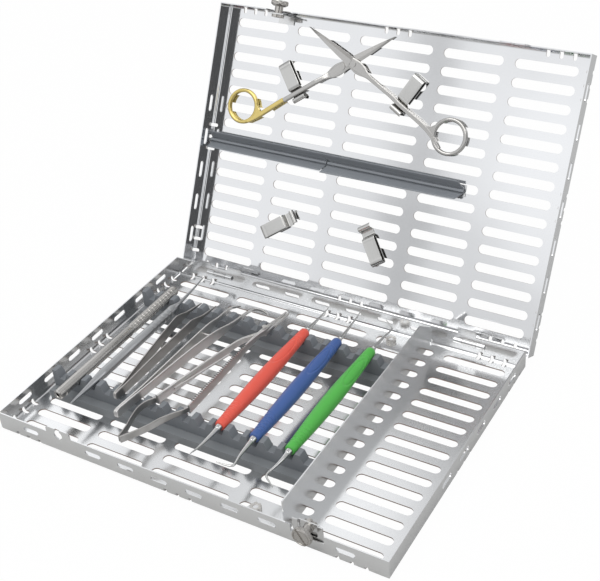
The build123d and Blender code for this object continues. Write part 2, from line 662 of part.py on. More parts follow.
def scissor_layers(name, upper):
    """Depths of one half's blade and handle; the upper half lies further from the panel."""
    spans = []
    for low, high in (SCISSORS[name][4], SCISSOR_GRIP_LAYER):
        middle = (low + high) / 2
        if upper:
            spans.append((middle + SCISSOR_LAYER_GAP / 2, high))
        else:
            spans.append((low, middle - SCISSOR_LAYER_GAP / 2))
    return spans


def scissor_half(name, upper):
    """Ring, shank and blade of one half, in one piece."""
    pivot, heading, ring_centre, shank_line, blade_depths = SCISSORS[name]
    (b0, b1), (g0, g1) = scissor_layers(name, upper)
    # the half whose blade lies between the two handles ends its blade before the other's handle
    inner = (sum(blade_depths) < sum(SCISSOR_GRIP_LAYER)) == upper
    tail, lap = (SCISSOR_TAIL - 9.0, SCISSOR_TAIL - 15.0) if inner else (SCISSOR_TAIL, SCISSOR_TAIL - 6.0)
    box, w = SCISSOR_BOX_WIDTH / 2, SCISSOR_SHANK_WIDTH / 2
    neck = w - 0.1
    turn = Pos(*pivot) * Rot(0, 0, heading)
    blade = turn * make_face(Polyline((SCISSOR_BLADE, 0), (6, box * 0.9), (-4, box), (-14, neck),
                                      (-tail, neck), (-tail, -neck), (-14, -neck), (-4, -box),
                                      (6, -box * 0.9), close=True))
    root = (turn * Pos(-lap, 0)).position
    ring = Pos(*ring_centre) * Circle(SCISSOR_RING_OUTER)
    hole = Pos(*ring_centre) * Circle(SCISSOR_RING_INNER)
    handle = band(list(shank_line[:-1]) + [(root.X, root.Y)], w) + ring - hole
    half = lid_plate(blade, b0, b1) + lid_plate(handle, g0, g1)
    if b1 < g0:
        half += lid_plate(turn * Pos(-(tail + lap) / 2, 0) * Rectangle(tail - lap, 2 * neck), b1, g0)
    radius = SCISSOR_SCREW_DIAMETER / 2 + (RUNNING_GAP if upper else 0)
    return half - lid_plate(Pos(*pivot) * Circle(radius), 0, 8)


def scissor_screw(name):
    """Pivot screw, fixed in the lower half."""
    pivot, (low, high) = SCISSORS[name][0], SCISSORS[name][4]
    shank = lid_plate(Pos(*pivot) * Circle(SCISSOR_SCREW_DIAMETER / 2), low, high + RUNNING_GAP)
    head = lid_plate(Pos(*pivot) * Circle(SCISSOR_SCREW_DIAMETER * 0.75), high + RUNNING_GAP, high + 0.4)
    return shank + head


# ---- instruments on the combs ----
def seat_z(diameter):
    """Height of the axis of a round handle lying against both sloping sides of a notch."""
    radius = diameter / 2 + SEAT_GAP
    slope = (NOTCH_TOP_WIDTH - NOTCH_FLOOR_WIDTH) / 2 / (COMB_TOP_Z - NOTCH_FLOOR_Z)
    return NOTCH_FLOOR_Z + (radius * math.hypot(1, slope) - NOTCH_FLOOR_WIDTH / 2) / slope


GRIP_FRONT_Y = FRONT_COMB_Y - 1.2
LEG_Z = NOTCH_FLOOR_Z + LEG_SEAT_GAP


def grip(x):
    """Silicone handle, thicker in the middle, moulded over the steel core."""
    end, middle, bore = GRIP_END_DIAMETER / 2, GRIP_DIAMETER / 2, CORE_DIAMETER / 2
    curve = Spline((end - 0.6, 0), (end, GRIP_LENGTH * 0.07), (middle, GRIP_LENGTH * 0.42),
                   (middle, GRIP_LENGTH * 0.58), (end, GRIP_LENGTH * 0.93), (end - 0.6, GRIP_LENGTH))
    edge = Polyline((end - 0.6, GRIP_LENGTH), (bore, GRIP_LENGTH), (bore, 0), (end - 0.6, 0))
    body = revolve(Plane.XZ * make_face(curve + edge), Axis.Z)
    return Plane(origin=(x, GRIP_FRONT_Y, seat_z(GRIP_END_DIAMETER)), z_dir=(0, 1, 0)) * body


def grip_core(x, front_points, back_points):
    """Steel core with both working ends; points are offsets from the handle's ends."""
    z, r = seat_z(GRIP_END_DIAMETER), CORE_DIAMETER / 2
    y0, y1 = GRIP_FRONT_Y, GRIP_FRONT_Y + GRIP_LENGTH
    front, back = y0 + front_points[0][1], y1 + back_points[0][1]
    core = turned(x, z, [(front, r * 0.55), (y0 - 1.5, r), (y1 + 1.5, r), (back, r * 0.55)])
    for points, y in ((front_points, y0), (back_points, y1)):
        path = [(x + dx, y + dy, z + dz) for dx, dy, dz in points]
        toward = 1.0 if y == y0 else -1.0
        path[0] = (x, path[0][1] + toward, z)
        core += bent_wire(path, (r * 0.5, r * 0.33, 0.35))
    return core


def leg(path, heights, z_mid):
    """Spring leg: a strip on edge that follows a plan path, its height changing along it."""
    strip = None
    for i in range(len(path) - 1):
        dx, dy = path[i + 1][0] - path[i][0], path[i + 1][1] - path[i][1]
        run = math.hypot(dx, dy)
        over = LEG_THICKNESS / 3
        side = Polyline((-over, -heights[i] / 2), (run + over, -heights[i + 1] / 2),
                        (run + over, heights[i + 1] / 2), (-over, heights[i] / 2), close=True)
        along = Plane(origin=(path[i][0], path[i][1], z_mid), x_dir=(dx, dy, 0), z_dir=(0, 0, 1))
        piece = along * extrude(Plane.XZ * make_face(side), LEG_THICKNESS / 2, both=True)
        strip = piece if strip is None else strip + piece
    return strip


def tilted(shape, z_mid, angle):
    """Lower a tool's point towards the back comb, turning it where it crosses that comb."""
    return shape.rotate(Axis((0, FRONT_COMB_Y + RAIL_SPACING, z_mid), (1, 0, 0)), -angle)


# ---- write every node ----
save("base_tray", base_tray())
save("lid_tray", on_lid(lid_tray() - rivet_holes()))
save("hinge_leaf_left", on_lid(hinge_leaf(-HINGE_X)))
save("hinge_leaf_right", on_lid(hinge_leaf(HINGE_X)))
save("hinge_pins", Compound(children=hinge_pins()))

save("latch_bracket_lid", on_lid(latch_bracket(-LATCH_X, PANEL_IN_Z, -1)))
save("latch_knob_lid", on_lid(latch_knob(-LATCH_X)))
save("latch_nut_lid", on_lid(star_nut(-LATCH_X)))
save("latch_bracket_base", latch_bracket(LATCH_X, SHEET, 1))
save("latch_knob_base", latch_knob(LATCH_X))
save("latch_nut_base", star_nut(LATCH_X))
save("ear_plate", ear_plate())

save("divider", divider())
save("divider_studs", Compound(children=divider_studs()))
save("divider_nuts", Compound(children=petal_nuts()))

for place, rail_y in (("front", FRONT_COMB_Y), ("back", FRONT_COMB_Y + RAIL_SPACING)):
    save("comb_holder_" + place, comb_holder(rail_y))
    save("comb_" + place, comb(rail_y))

save("bar_channel", on_lid(bar_channel()))
save("bar_rivets", on_lid(Compound(children=bar_rivets())))
save("hold_down_left", on_lid(hold_down_strip(BAR_X0, BAR_JOINT_X - BAR_JOINT_GAP)))
save("hold_down_right", on_lid(hold_down_strip(BAR_JOINT_X, BAR_RIGHT_X)))

for name in CLIPS:
    save(name, on_lid(clip(name)))
    save(name + "_rivet", on_lid(clip_rivet(name)))

for name in SCISSORS:
    save(name + "_lower", on_lid(scissor_half(name, False)))
    save(name + "_upper", on_lid(scissor_half(name, True)))
    save(name + "_screw", on_lid(scissor_screw(name)))

# mirror handle: hollow steel tube, front half smooth, back half knurled, with a collar between
mirror_x, mirror_z, mirror_r = notch_x(1), seat_z(HANDLE_DIAMETER), HANDLE_DIAMETER / 2
mirror_front = y_cylinder(mirror_x, mirror_z, -72.7, 3.0, mirror_r)
mirror_front = chamfer(mirror_front.edges().filter_by(GeomType.CIRCLE).sort_by(Axis.Y)[0], 1.0)
mirror_front -= y_cylinder(mirror_x, mirror_z, -74.0, -66.0, 1.4)
mirror_front += y_cylinder(mirror_x, mirror_z, 3.0, 6.0, mirror_r * 0.9)
mirror_back = y_cylinder(mirror_x, mirror_z, 6.0, 57.3, mirror_r)
mirror_back = chamfer(mirror_back.edges().filter_by(GeomType.CIRCLE).sort_by(Axis.Y)[-1], 1.0)
save("mirror_handle_front", mirror_front)
save("mirror_handle_back", mirror_back)

# periodontal probe: one turned piece with grooves and a long fine shank
probe_x, probe_z, probe_r = notch_x(2), seat_z(PROBE_DIAMETER), PROBE_DIAMETER / 2
probe_profile = [(-74.9, 0.8), (-42.0, probe_r)]
for groove in range(6):
    groove_y = 11.0 + 4.2 * groove
    probe_profile += [(groove_y, probe_r), (groove_y + 0.2, probe_r - 0.4), (groove_y + 1.2, probe_r - 0.4),
                      (groove_y + 1.4, probe_r)]
probe_profile += [(38.0, probe_r), (44.0, 1.6)]
probe = turned(probe_x, probe_z, probe_profile)
probe += bent_wire([(probe_x, 43.0, probe_z), (probe_x - 1.0, 62.0, probe_z), (probe_x - 2.4, 79.8, probe_z)],
                   (1.4, 0.9, 0.35))
save("probe", probe)

# straight tweezers: two legs joined at the rounded end, which lies high in its notch
straight_z = LEG_Z + LEG_HEIGHT / 2
straight_heights = (5.0, 6.4, LEG_HEIGHT, 2.4, 1.6)
straight = leg([(-75.4, -58.6), (-76.4, -46.0), (-86.6, 20.0), (-86.4, 38.0), (-84.0, 52.0)],
               straight_heights, straight_z)
straight += leg([(-75.0, -58.6), (-74.2, -46.0), (-75.0, 20.0), (-74.0, 38.0), (-72.5, 53.0)],
                straight_heights, straight_z)
straight += Pos(-75.3, -56.5, straight_z) * Box(2.0, 4.0, 5.0)
save("tweezers_straight", tilted(straight, straight_z, LEG_TILT))

# college tweezers: bent tips, guide pin between the legs
bent_heights = (5.0, 6.4, LEG_HEIGHT, LEG_HEIGHT, 3.0, 2.2, 1.6)
bent = leg([(-63.8, -72.6), (-62.9, -46.0), (-62.6, -20.0), (-62.0, 25.0), (-62.0, 50.0), (-61.0, 56.0),
            (-56.0, 61.0)], bent_heights, straight_z)
bent += leg([(-63.4, -72.6), (-60.9, -46.0), (-56.4, 0.0), (-49.8, 40.0), (-48.0, 55.0), (-43.0, 62.0),
             (-34.0, 60.5)], bent_heights, straight_z)
bent += Pos(-63.6, -70.5, straight_z) * Box(1.8, 4.0, 5.0)
guide_pin = rod((-61.4, 22.0, straight_z), (-55.6, 22.0, straight_z), 0.8, 0.8)
save("tweezers_bent", tilted(bent, straight_z, LEG_TILT))
save("tweezers_bent_pin", tilted(guide_pin, straight_z, LEG_TILT))

# spring needle holder: two flat handles on a lap joint, bowed leaf springs behind them
pivot_x, pivot_y = -24.5, 42.0
holder_z = HOLDER_BOTTOM_Z + HOLDER_LEG_HEIGHT / 2
handle_heights = (HOLDER_LEG_HEIGHT, HOLDER_LEG_HEIGHT)
lap_height = HOLDER_LEG_HEIGHT / 2 - 0.1
holder_legs = {
    "left": ((-47.8, -49.8), (-33.0, 26.0), (-20.6, 66.8), -1),
    "right": ((-23.8, -48.8), (-26.0, 26.0), (-22.6, 67.0), 1),
}
for side, (start, knee, tip, level) in holder_legs.items():
    half = leg([start, knee], handle_heights, holder_z)
    lap_z = holder_z + level * (HOLDER_LEG_HEIGHT / 4 + 0.05)
    half += leg([knee, (pivot_x, pivot_y), tip], (lap_height, lap_height, lap_height * 0.7), lap_z)
    half += Pos(pivot_x, pivot_y, lap_z) * Cylinder(3.2, lap_height)
    half -= Pos(pivot_x, pivot_y, holder_z) * Cylinder(1.0 + (RUNNING_GAP if level > 0 else 0), 20)
    if side == "left":
        half += rod((-44.4, -36.0, holder_z), (-31.9, 10.0, holder_z), 0.6, 0.6)
    save("needle_holder_" + side, tilted(half, holder_z, HOLDER_TILT))
rivet_top = holder_z + HOLDER_LEG_HEIGHT / 2
needle_rivet = rod((pivot_x, pivot_y, HOLDER_BOTTOM_Z), (pivot_x, pivot_y, rivet_top + 0.1), 1.0, 1.0)
needle_rivet += rod((pivot_x, pivot_y, rivet_top + 0.1), (pivot_x, pivot_y, rivet_top + 0.6), 1.8, 1.8)
save("needle_holder_rivet", tilted(needle_rivet, holder_z, HOLDER_TILT))
spring = leg([(-48.4, -50.6), (-52.3, -61.4), (-50.5, -71.8), (-47.2, -81.8), (-46.2, -89.8)],
             (4.0, 5.0, 5.0, 5.0, 5.0), holder_z)
spring += leg([(-24.3, -49.7), (-28.2, -56.2), (-32.9, -65.6), (-36.4, -76.4), (-45.8, -90.8)],
              (4.0, 4.0, 5.0, 5.0, 5.0), holder_z)
save("needle_holder_spring", tilted(spring, holder_z, HOLDER_TILT))

# double-ended scalers with coloured handles
scalers = {
    "red": (notch_x(10), [(0, -8, 0), (-0.6, -22, 0.5), (-1.0, -29.5, 2.0)],
            [(0, 8, 0), (1.2, 22, 0.5), (2.0, 29.5, 2.0)]),
    "blue": (notch_x(12), [(0.5, -18.5, 0), (2.6, -25.0, 0), (-8.6, -27.8, 1.0)],
             [(0, 10, 0), (-0.2, 24, 1.0), (-0.4, 35.0, 3.0)]),
    "green": (notch_x(14), [(0, -12.0, 0), (-1.9, -23.5, 0), (7.4, -31.0, 1.0)],
              [(0, 10, 0), (2.0, 25.5, 0.5), (-5.4, 32.5, 1.5)]),
}
for colour, (scaler_x, front_end, back_end) in scalers.items():
    save("scaler_" + colour + "_core", grip_core(scaler_x, front_end, back_end))
    save("scaler_" + colour + "_grip", grip(scaler_x))
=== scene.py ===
import math
import bpy
from mathutils import Matrix, Vector


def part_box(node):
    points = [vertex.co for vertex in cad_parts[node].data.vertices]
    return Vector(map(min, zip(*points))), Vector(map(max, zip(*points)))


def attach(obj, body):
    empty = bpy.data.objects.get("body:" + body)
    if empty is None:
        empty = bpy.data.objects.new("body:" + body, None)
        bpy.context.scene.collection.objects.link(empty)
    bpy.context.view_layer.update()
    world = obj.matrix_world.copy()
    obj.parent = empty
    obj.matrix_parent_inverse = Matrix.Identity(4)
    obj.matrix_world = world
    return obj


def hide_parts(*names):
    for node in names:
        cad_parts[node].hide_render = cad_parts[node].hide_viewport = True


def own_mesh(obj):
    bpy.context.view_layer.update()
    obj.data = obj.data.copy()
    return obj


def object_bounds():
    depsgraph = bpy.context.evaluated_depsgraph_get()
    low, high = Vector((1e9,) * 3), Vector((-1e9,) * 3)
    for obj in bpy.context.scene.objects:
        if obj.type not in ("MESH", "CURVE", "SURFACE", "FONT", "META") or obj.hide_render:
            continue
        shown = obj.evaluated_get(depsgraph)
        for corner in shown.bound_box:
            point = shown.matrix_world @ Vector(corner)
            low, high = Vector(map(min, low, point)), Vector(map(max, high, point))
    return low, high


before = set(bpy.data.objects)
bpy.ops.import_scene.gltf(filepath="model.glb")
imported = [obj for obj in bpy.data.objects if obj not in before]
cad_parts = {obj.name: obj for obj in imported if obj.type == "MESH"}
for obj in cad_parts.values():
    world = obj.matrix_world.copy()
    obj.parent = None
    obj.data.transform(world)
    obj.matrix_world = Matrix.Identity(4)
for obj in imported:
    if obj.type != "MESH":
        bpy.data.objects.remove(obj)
cad_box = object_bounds()

# ---------------------------------------------------------------- table, room and light
# The cassette stands open on a plain pale table in an even, bright room. Two large soft
# lamps hang over it; darker cards give the polished sheet something to reflect.
scene = bpy.context.scene
scene.view_settings.view_transform = "Standard"


def nodes_of(material):
    material.use_nodes = True
    tree = material.node_tree
    tree.nodes.clear()
    return tree, tree.nodes, tree.links


def math_node(tree, operation, *inputs):
    node = tree.nodes.new("ShaderNodeMath")
    node.operation = operation
    for i, value in enumerate(inputs):
        if isinstance(value, (int, float)):
            node.inputs[i].default_value = value
        else:
            tree.links.new(value, node.inputs[i])
    return node.outputs[0]


world = bpy.data.worlds.new("room")
scene.world = world
tree, nodes, links = nodes_of(world)
path = nodes.new("ShaderNodeLightPath")
direction = nodes.new("ShaderNodeTexCoord").outputs["Generated"]


def towards(azimuth, elevation):
    """Unit vector of a direction in the room, given in degrees."""
    a, e = math.radians(azimuth), math.radians(elevation)
    return Vector((math.cos(a) * math.cos(e), math.sin(a) * math.cos(e), math.sin(e)))


def faded(axis, low, high):
    """0 to 1, softly, as the share of a direction along the axis goes from low to high."""
    dot = nodes.new("ShaderNodeVectorMath")
    dot.operation = "DOT_PRODUCT"
    dot.inputs[1].default_value = axis
    links.new(direction, dot.inputs[0])
    soft = nodes.new("ShaderNodeMapRange")
    soft.interpolation_type = "SMOOTHSTEP"
    soft.inputs["From Min"].default_value = low
    soft.inputs["From Max"].default_value = high
    links.new(dot.outputs["Value"], soft.inputs["Value"])
    return soft.outputs["Result"]


def card(azimuth, elevation, inner, outer):
    """How far a direction lies inside a soft-edged round card, 0 to 1."""
    return faded(towards(azimuth, elevation), math.cos(math.radians(outer)), math.cos(math.radians(inner)))


def streak(start, end, rise, fall):
    """A dark strip in the room from one direction to another: sharp on one side, fading on the other."""
    across = towards(*end).cross(towards(*start)).normalized()
    return math_node(tree, "MULTIPLY", faded(across, math.sin(math.radians(-rise)), 0.0),
                     faded(across, math.sin(math.radians(fall)), math.sin(math.radians(rise))))


# Each card: azimuth, elevation, radius of the even middle and of the faded rim (degrees), strength.
bright_cards = ((230, 22, 10, 38, 0.44), (152, 28, 6, 34, 0.36), (256, 52, 4, 20, 0.16),
                (75, 62, 4, 26, 0.12), (142, 38, 2, 9, 0.34), (337, 9, 5, 17, 0.6), (279, 28, 3, 13, 0.48),
                (121.5, 46.3, 1.5, 5.6, 0.7), (256, 24, 3, 8, 0.17))
dark_cards = ((307, 19, 12, 20, 0.82), (10, 42, 6, 26, 0.6), (60, 20, 6, 26, 0.5), (248, 16, 2, 8, 0.13),
              (196, 6, 4, 20, 0.45), (158, 64, 3, 15, 0.22))
glow = 0.56
for *place, gain in bright_cards:
    glow = math_node(tree, "ADD", glow, math_node(tree, "MULTIPLY", card(*place), gain))
band = math_node(tree, "MULTIPLY", streak((244.9, 27.9), (246.9, 19.6), 0.5, 3.2), card(246, 23, 12, 18))
for shade, depth in [(card(*place), depth) for *place, depth in dark_cards] + [(band, 0.38)]:
    left = math_node(tree, "SUBTRACT", 1.0, math_node(tree, "MULTIPLY", shade, depth))
    glow = math_node(tree, "MULTIPLY", glow, left)
room = nodes.new("ShaderNodeBackground")
room.inputs["Color"].default_value = (0.975, 0.985, 1.0, 1)
links.new(glow, room.inputs["Strength"])
plain = nodes.new("ShaderNodeBackground")
plain.inputs["Color"].default_value = (1, 1, 1, 1)
fill = nodes.new("ShaderNodeBackground")
fill.inputs["Color"].default_value = (0.95, 0.98, 1.0, 1)
fill.inputs["Strength"].default_value = 0.90
gloss = nodes.new("ShaderNodeMixShader")
links.new(math_node(tree, "MAXIMUM", path.outputs["Is Glossy Ray"], path.outputs["Is Transmission Ray"]),
          gloss.inputs[0])
links.new(fill.outputs[0], gloss.inputs[1])
links.new(room.outputs[0], gloss.inputs[2])
seen = nodes.new("ShaderNodeMixShader")
links.new(path.outputs["Is Camera Ray"], seen.inputs[0])
links.new(gloss.outputs[0], seen.inputs[1])
links.new(plain.outputs[0], seen.inputs[2])
links.new(seen.outputs[0], nodes.new("ShaderNodeOutputWorld").inputs[0])

for name, place, size, power, tint in (("lamp_over", (-0.15, -0.62, 1.5), 1.3, 9.0, (1.0, 0.99, 0.97)),
                                       ("lamp_side", (1.15, 0.15, 0.95), 0.9, 2.6, (0.97, 0.98, 1.0))):
    lamp = bpy.data.lights.new(name, "AREA")
    lamp.shape, lamp.size, lamp.energy, lamp.color = "SQUARE", size, power, tint
    hung = bpy.data.objects.new(name, lamp)
    hung.location = place
    hung.rotation_euler = (Vector((0, 0.05, 0.05)) - Vector(place)).to_track_quat("-Z", "Y").to_euler()
    scene.collection.objects.link(hung)

table_reach, table_gap = 6, 0.0002
table_top = bpy.data.meshes.new("table")
table_top.from_pydata([(-table_reach, -table_reach, 0), (table_reach, -table_reach, 0),
                       (table_reach, table_reach, 0), (-table_reach, table_reach, 0)], [], [(0, 1, 2, 3)])
table = bpy.data.objects.new("table", table_top)
table.location.z = min(0.0, cad_box[0][2]) - table_gap
scene.collection.objects.link(table)
table_finish = bpy.data.materials.new("table_white")
tree, nodes, links = nodes_of(table_finish)
path = nodes.new("ShaderNodeLightPath")
lit = nodes.new("ShaderNodeBsdfDiffuse")
lit.inputs["Color"].default_value = (0.50, 0.49, 0.48, 1)
white = nodes.new("ShaderNodeEmission")
mix = nodes.new("ShaderNodeMixShader")
white.inputs["Strength"].default_value = 1.012
links.new(math_node(tree, "MULTIPLY", path.outputs["Is Camera Ray"], 0.965), mix.inputs[0])
links.new(lit.outputs[0], mix.inputs[1])
links.new(white.outputs[0], mix.inputs[2])
links.new(mix.outputs[0], nodes.new("ShaderNodeOutputMaterial").inputs[0])
table.data.materials.append(table_finish)

camera = bpy.data.cameras.new("camera")
camera.sensor_width, camera.lens = 36.0, 67.08
camera.clip_start, camera.clip_end = 0.01, 20
eye = bpy.data.objects.new("camera", camera)
right = Vector((0.86027, 0.50392, -0.0774)).normalized()
ahead = Vector((-0.45335, 0.68666, -0.5683)).normalized()
up = right.cross(ahead).normalized()
eye.matrix_world = Matrix(((right.x, up.x, -ahead.x, 0.33382), (right.y, up.y, -ahead.y, -0.45318),
                           (right.z, up.z, -ahead.z, 0.4715), (0, 0, 0, 1)))
scene.collection.objects.link(eye)
scene.camera = eye


# ---------------------------------------------------------------- base and lid trays
# Each tray is one stainless sheet, laser-cut, folded up and electropolished to a near mirror.
# Folding leaves faint waves in the sheet, and washing leaves fine random scuffs on it.
def noise(tree, where, scale, detail):
    node = tree.nodes.new("ShaderNodeTexNoise")
    node.inputs["Scale"].default_value = scale
    node.inputs["Detail"].default_value = detail
    tree.links.new(where, node.inputs["Vector"])
    return node.outputs["Fac"]


def between(tree, value, low, high):
    """A value of 0 to 1 spread from low to high."""
    node = tree.nodes.new("ShaderNodeMapRange")
    node.inputs["To Min"].default_value = low
    node.inputs["To Max"].default_value = high
    tree.links.new(value, node.inputs["Value"])
    return node.outputs["Result"]


def mottle(tree, shader, color, tone):
    """Base colour, lighter and darker by a varying tone."""
    tint = tree.nodes.new("ShaderNodeVectorMath")
    tint.operation = "SCALE"
    tint.inputs[0].default_value = color
    tree.links.new(tone, tint.inputs["Scale"])
    tree.links.new(tint.outputs["Vector"], shader.inputs["Base Color"])


def bump(tree, height, distance, under=None):
    """Normal of a relief so many metres deep, laid over another one if there is one."""
    node = tree.nodes.new("ShaderNodeBump")
    node.inputs["Strength"].default_value = 1.0
    node.inputs["Distance"].default_value = distance
    tree.links.new(height, node.inputs["Height"])
    if under:
        tree.links.new(under, node.inputs["Normal"])
    return node.outputs["Normal"]


def steel(name, color, rough, spread=0.06, wave=0.0, grain=0.0, grain_scale=(900, 900, 900)):
    """Polished or satin metal: colour blotches, uneven roughness, long waves and a fine grain."""
    material = bpy.data.materials.new(name)
    tree, nodes, links = nodes_of(material)
    where = nodes.new("ShaderNodeTexCoord").outputs["Object"]
    shader = nodes.new("ShaderNodeBsdfPrincipled")
    shader.inputs["Metallic"].default_value = 1.0
    cloud = noise(tree, where, 28, 5)
    darkest, lightest = 0.94, 1.024
    mottle(tree, shader, color, between(tree, cloud, darkest, lightest))
    stretch = nodes.new("ShaderNodeMapping")
    stretch.inputs["Scale"].default_value = grain_scale
    links.new(where, stretch.inputs["Vector"])
    fine = noise(tree, stretch.outputs["Vector"], 1.0, 6)
    patches = math_node(tree, "MULTIPLY", math_node(tree, "ADD", cloud, fine), 0.5)
    links.new(between(tree, patches, rough - spread, rough + spread), shader.inputs["Roughness"])
    long_waves = bump(tree, noise(tree, where, 11, 1), wave)
    links.new(bump(tree, fine, grain, long_waves), shader.inputs["Normal"])
    links.new(shader.outputs[0], nodes.new("ShaderNodeOutputMaterial").inputs[0])
    return material


def finish_nodes(material, *names):
    """Give solids of the CAD frame a material."""
    for name in names:
        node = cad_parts[name]
        node.data.materials.clear()
        node.data.materials.append(material)


def cut_edges(material, direction, low, high):
    """Darken and warm the laser-cut edges of the slots: the faces square to a sheet between two levels."""
    tree = material.node_tree
    nodes, links = tree.nodes, tree.links
    coordinates = nodes.new("ShaderNodeTexCoord")
    shader = next(n for n in nodes if n.type == "BSDF_PRINCIPLED")
    level, slope = nodes.new("ShaderNodeVectorMath"), nodes.new("ShaderNodeVectorMath")
    for node, source in ((level, "Object"), (slope, "Normal")):
        node.operation = "DOT_PRODUCT"
        node.inputs[1].default_value = direction
        links.new(coordinates.outputs[source], node.inputs[0])
    inside = math_node(tree, "MULTIPLY", math_node(tree, "GREATER_THAN", level.outputs["Value"], low),
                       math_node(tree, "LESS_THAN", level.outputs["Value"], high))
    square = math_node(tree, "LESS_THAN", math_node(tree, "ABSOLUTE", slope.outputs["Value"]), 0.25)
    burnt = nodes.new("ShaderNodeMix")
    burnt.data_type = "RGBA"
    links.new(math_node(tree, "MULTIPLY", inside, square), burnt.inputs[0])
    links.new(shader.inputs["Base Color"].links[0].from_socket, burnt.inputs[6])
    burnt_brown = (0.34, 0.245, 0.20, 1)
    burnt.inputs[7].default_value = burnt_brown
    links.new(burnt.outputs[2], shader.inputs["Base Color"])


# The hinge line, how far the lid stands open, and the outer and inner face of the shut lid (mm).
hinge_y, hinge_z, lid_angle = 98.6, 9.1, -117.5
lid_outside, lid_inside = 29.4, 28.6
# The laser-cut edges lie between the two skins of the sheet (m).
skin_low, skin_high = 0.00003, 0.00077
tray_steel = steel("electropolished_sheet", (0.83, 0.835, 0.84), 0.17, 0.04, wave=0.0007, grain=0.000003)
cut_edges(tray_steel, (0, 0, 1), skin_low, skin_high)
finish_nodes(tray_steel, "base_tray")
lid_steel = steel("electropolished_lid", (0.83, 0.835, 0.845), 0.09, 0.03, wave=0.0006, grain=0.000003)
out = (0.0, 0.88701, -0.46175)
level = (hinge_y * out[1] + hinge_z * out[2] + lid_outside - hinge_z) * 0.001
cut_edges(lid_steel, out, level - skin_high, level - skin_low)
finish_nodes(lid_steel, "lid_tray")

# ---------------------------------------------------------------- back hinges
# Rolled barrels of the same sheet turn on drawn steel pins. The outer knuckles belong to the
# base's back wall; each middle knuckle is rolled from a leaf that is spot-welded to the lid.
hinge_steel = steel("hinge_sheet", (0.74, 0.74, 0.74), 0.22, 0.07, wave=0.0004, grain=0.000008)
finish_nodes(hinge_steel, "hinge_leaf_left", "hinge_leaf_right", "hinge_pins")

# ---------------------------------------------------------------- divider
# One polished plate with two feet folded flat onto the floor. A stud comes up through each foot,
# and a turned nut with six lobes clamps it, so that the plate can be moved or taken out.
divider_steel = steel("divider_sheet", (0.86, 0.865, 0.87), 0.24, 0.06, wave=0.0005, grain=0.000004)
finish_nodes(divider_steel, "divider", "divider_studs")
nut_steel = steel("turned_nut", (0.66, 0.64, 0.61), 0.27, 0.08, grain=0.00002)
finish_nodes(nut_steel, "divider_nuts")

# ---------------------------------------------------------------- comb rails
# Two silicone combs, each moulded with sixteen notches and pressed into a grey plastic strip
# whose feet stand in the floor's slots.
def matt(name, color, rough, fleck, grain, grain_scale=1400, sheen=0.0):
    """Silicone or moulded plastic: slightly uneven colour, a fine pebbled skin and a soft sheen."""
    material = bpy.data.materials.new(name)
    tree, nodes, links = nodes_of(material)
    where = nodes.new("ShaderNodeTexCoord").outputs["Object"]
    shader = nodes.new("ShaderNodeBsdfPrincipled")
    shader.inputs["Roughness"].default_value = rough
    shader.inputs["Sheen Weight"].default_value = sheen
    mottle(tree, shader, color, between(tree, noise(tree, where, 60, 6), 1 - fleck, 1 + fleck))
    links.new(bump(tree, noise(tree, where, grain_scale, 3), grain), shader.inputs["Normal"])
    links.new(shader.outputs[0], nodes.new("ShaderNodeOutputMaterial").inputs[0])
    return material


def piece(name, vertices, faces, material, body, replaced=(), bevel=0.0, angle=35):
    """A mesh given in millimetres becomes a finished piece on its body, smooth up to an angle."""
    mesh = bpy.data.meshes.new(name)
    mesh.from_pydata([tuple(c * 0.001 for c in v) for v in vertices], [], faces)
    mesh.validate()
    mesh.materials.append(material)
    made = bpy.data.objects.new(name, mesh)
    scene.collection.objects.link(made)
    if bevel:
        rounding = made.modifiers.new("edge", "BEVEL")
        rounding.width, rounding.segments, rounding.limit_method = bevel * 0.001, 2, "ANGLE"
        rounding.angle_limit = math.radians(28)
    bpy.context.view_layer.objects.active = made
    made.select_set(True)
    bpy.ops.object.mode_set(mode="EDIT")
    bpy.ops.mesh.select_all(action="SELECT")
    bpy.ops.mesh.normals_make_consistent(inside=False)
    bpy.ops.object.mode_set(mode="OBJECT")
    if bevel:
        bpy.ops.object.modifier_apply(modifier="edge")
    bpy.ops.object.shade_auto_smooth(angle=math.radians(angle))
    for modifier in list(made.modifiers):
        bpy.ops.object.modifier_apply(modifier=modifier.name)
    made.select_set(False)
    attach(made, body)
    if replaced:
        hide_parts(*replaced)
    return made


def prism(outline, low, high, place):
    """Vertices and faces of an outline pulled straight between two depths; place puts (a, b, depth)."""
    n = len(outline)
    vertices = [place(a, b, low) for a, b in outline] + [place(a, b, high) for a, b in outline]
    faces = [tuple(range(n)), tuple(range(2 * n - 1, n - 1, -1))]
    faces += [(i, (i + 1) % n, n + (i + 1) % n, n + i) for i in range(n)]
    return vertices, faces


grey_silicone = matt("grey_silicone", (0.172, 0.182, 0.196), 0.5, 0.06, grain=0.000012)
holder_plastic = matt("holder_plastic", (0.20, 0.21, 0.22), 0.42, 0.05, grain=0.00001, grain_scale=900)
finish_nodes(holder_plastic, "comb_holder_front", "comb_holder_back")
comb_floor, comb_top, comb_foot, comb_half = 14.4, 20.0, 7.0, 3.25
front_comb_y, back_comb_y = -51.35, 47.85
notch_count, notch_mouth, notch_bed = 16, 4.6, 2.1


def notch_x(k):
    """The middle of a notch, counted from the left."""
    return -123.7 + 12.5 * k


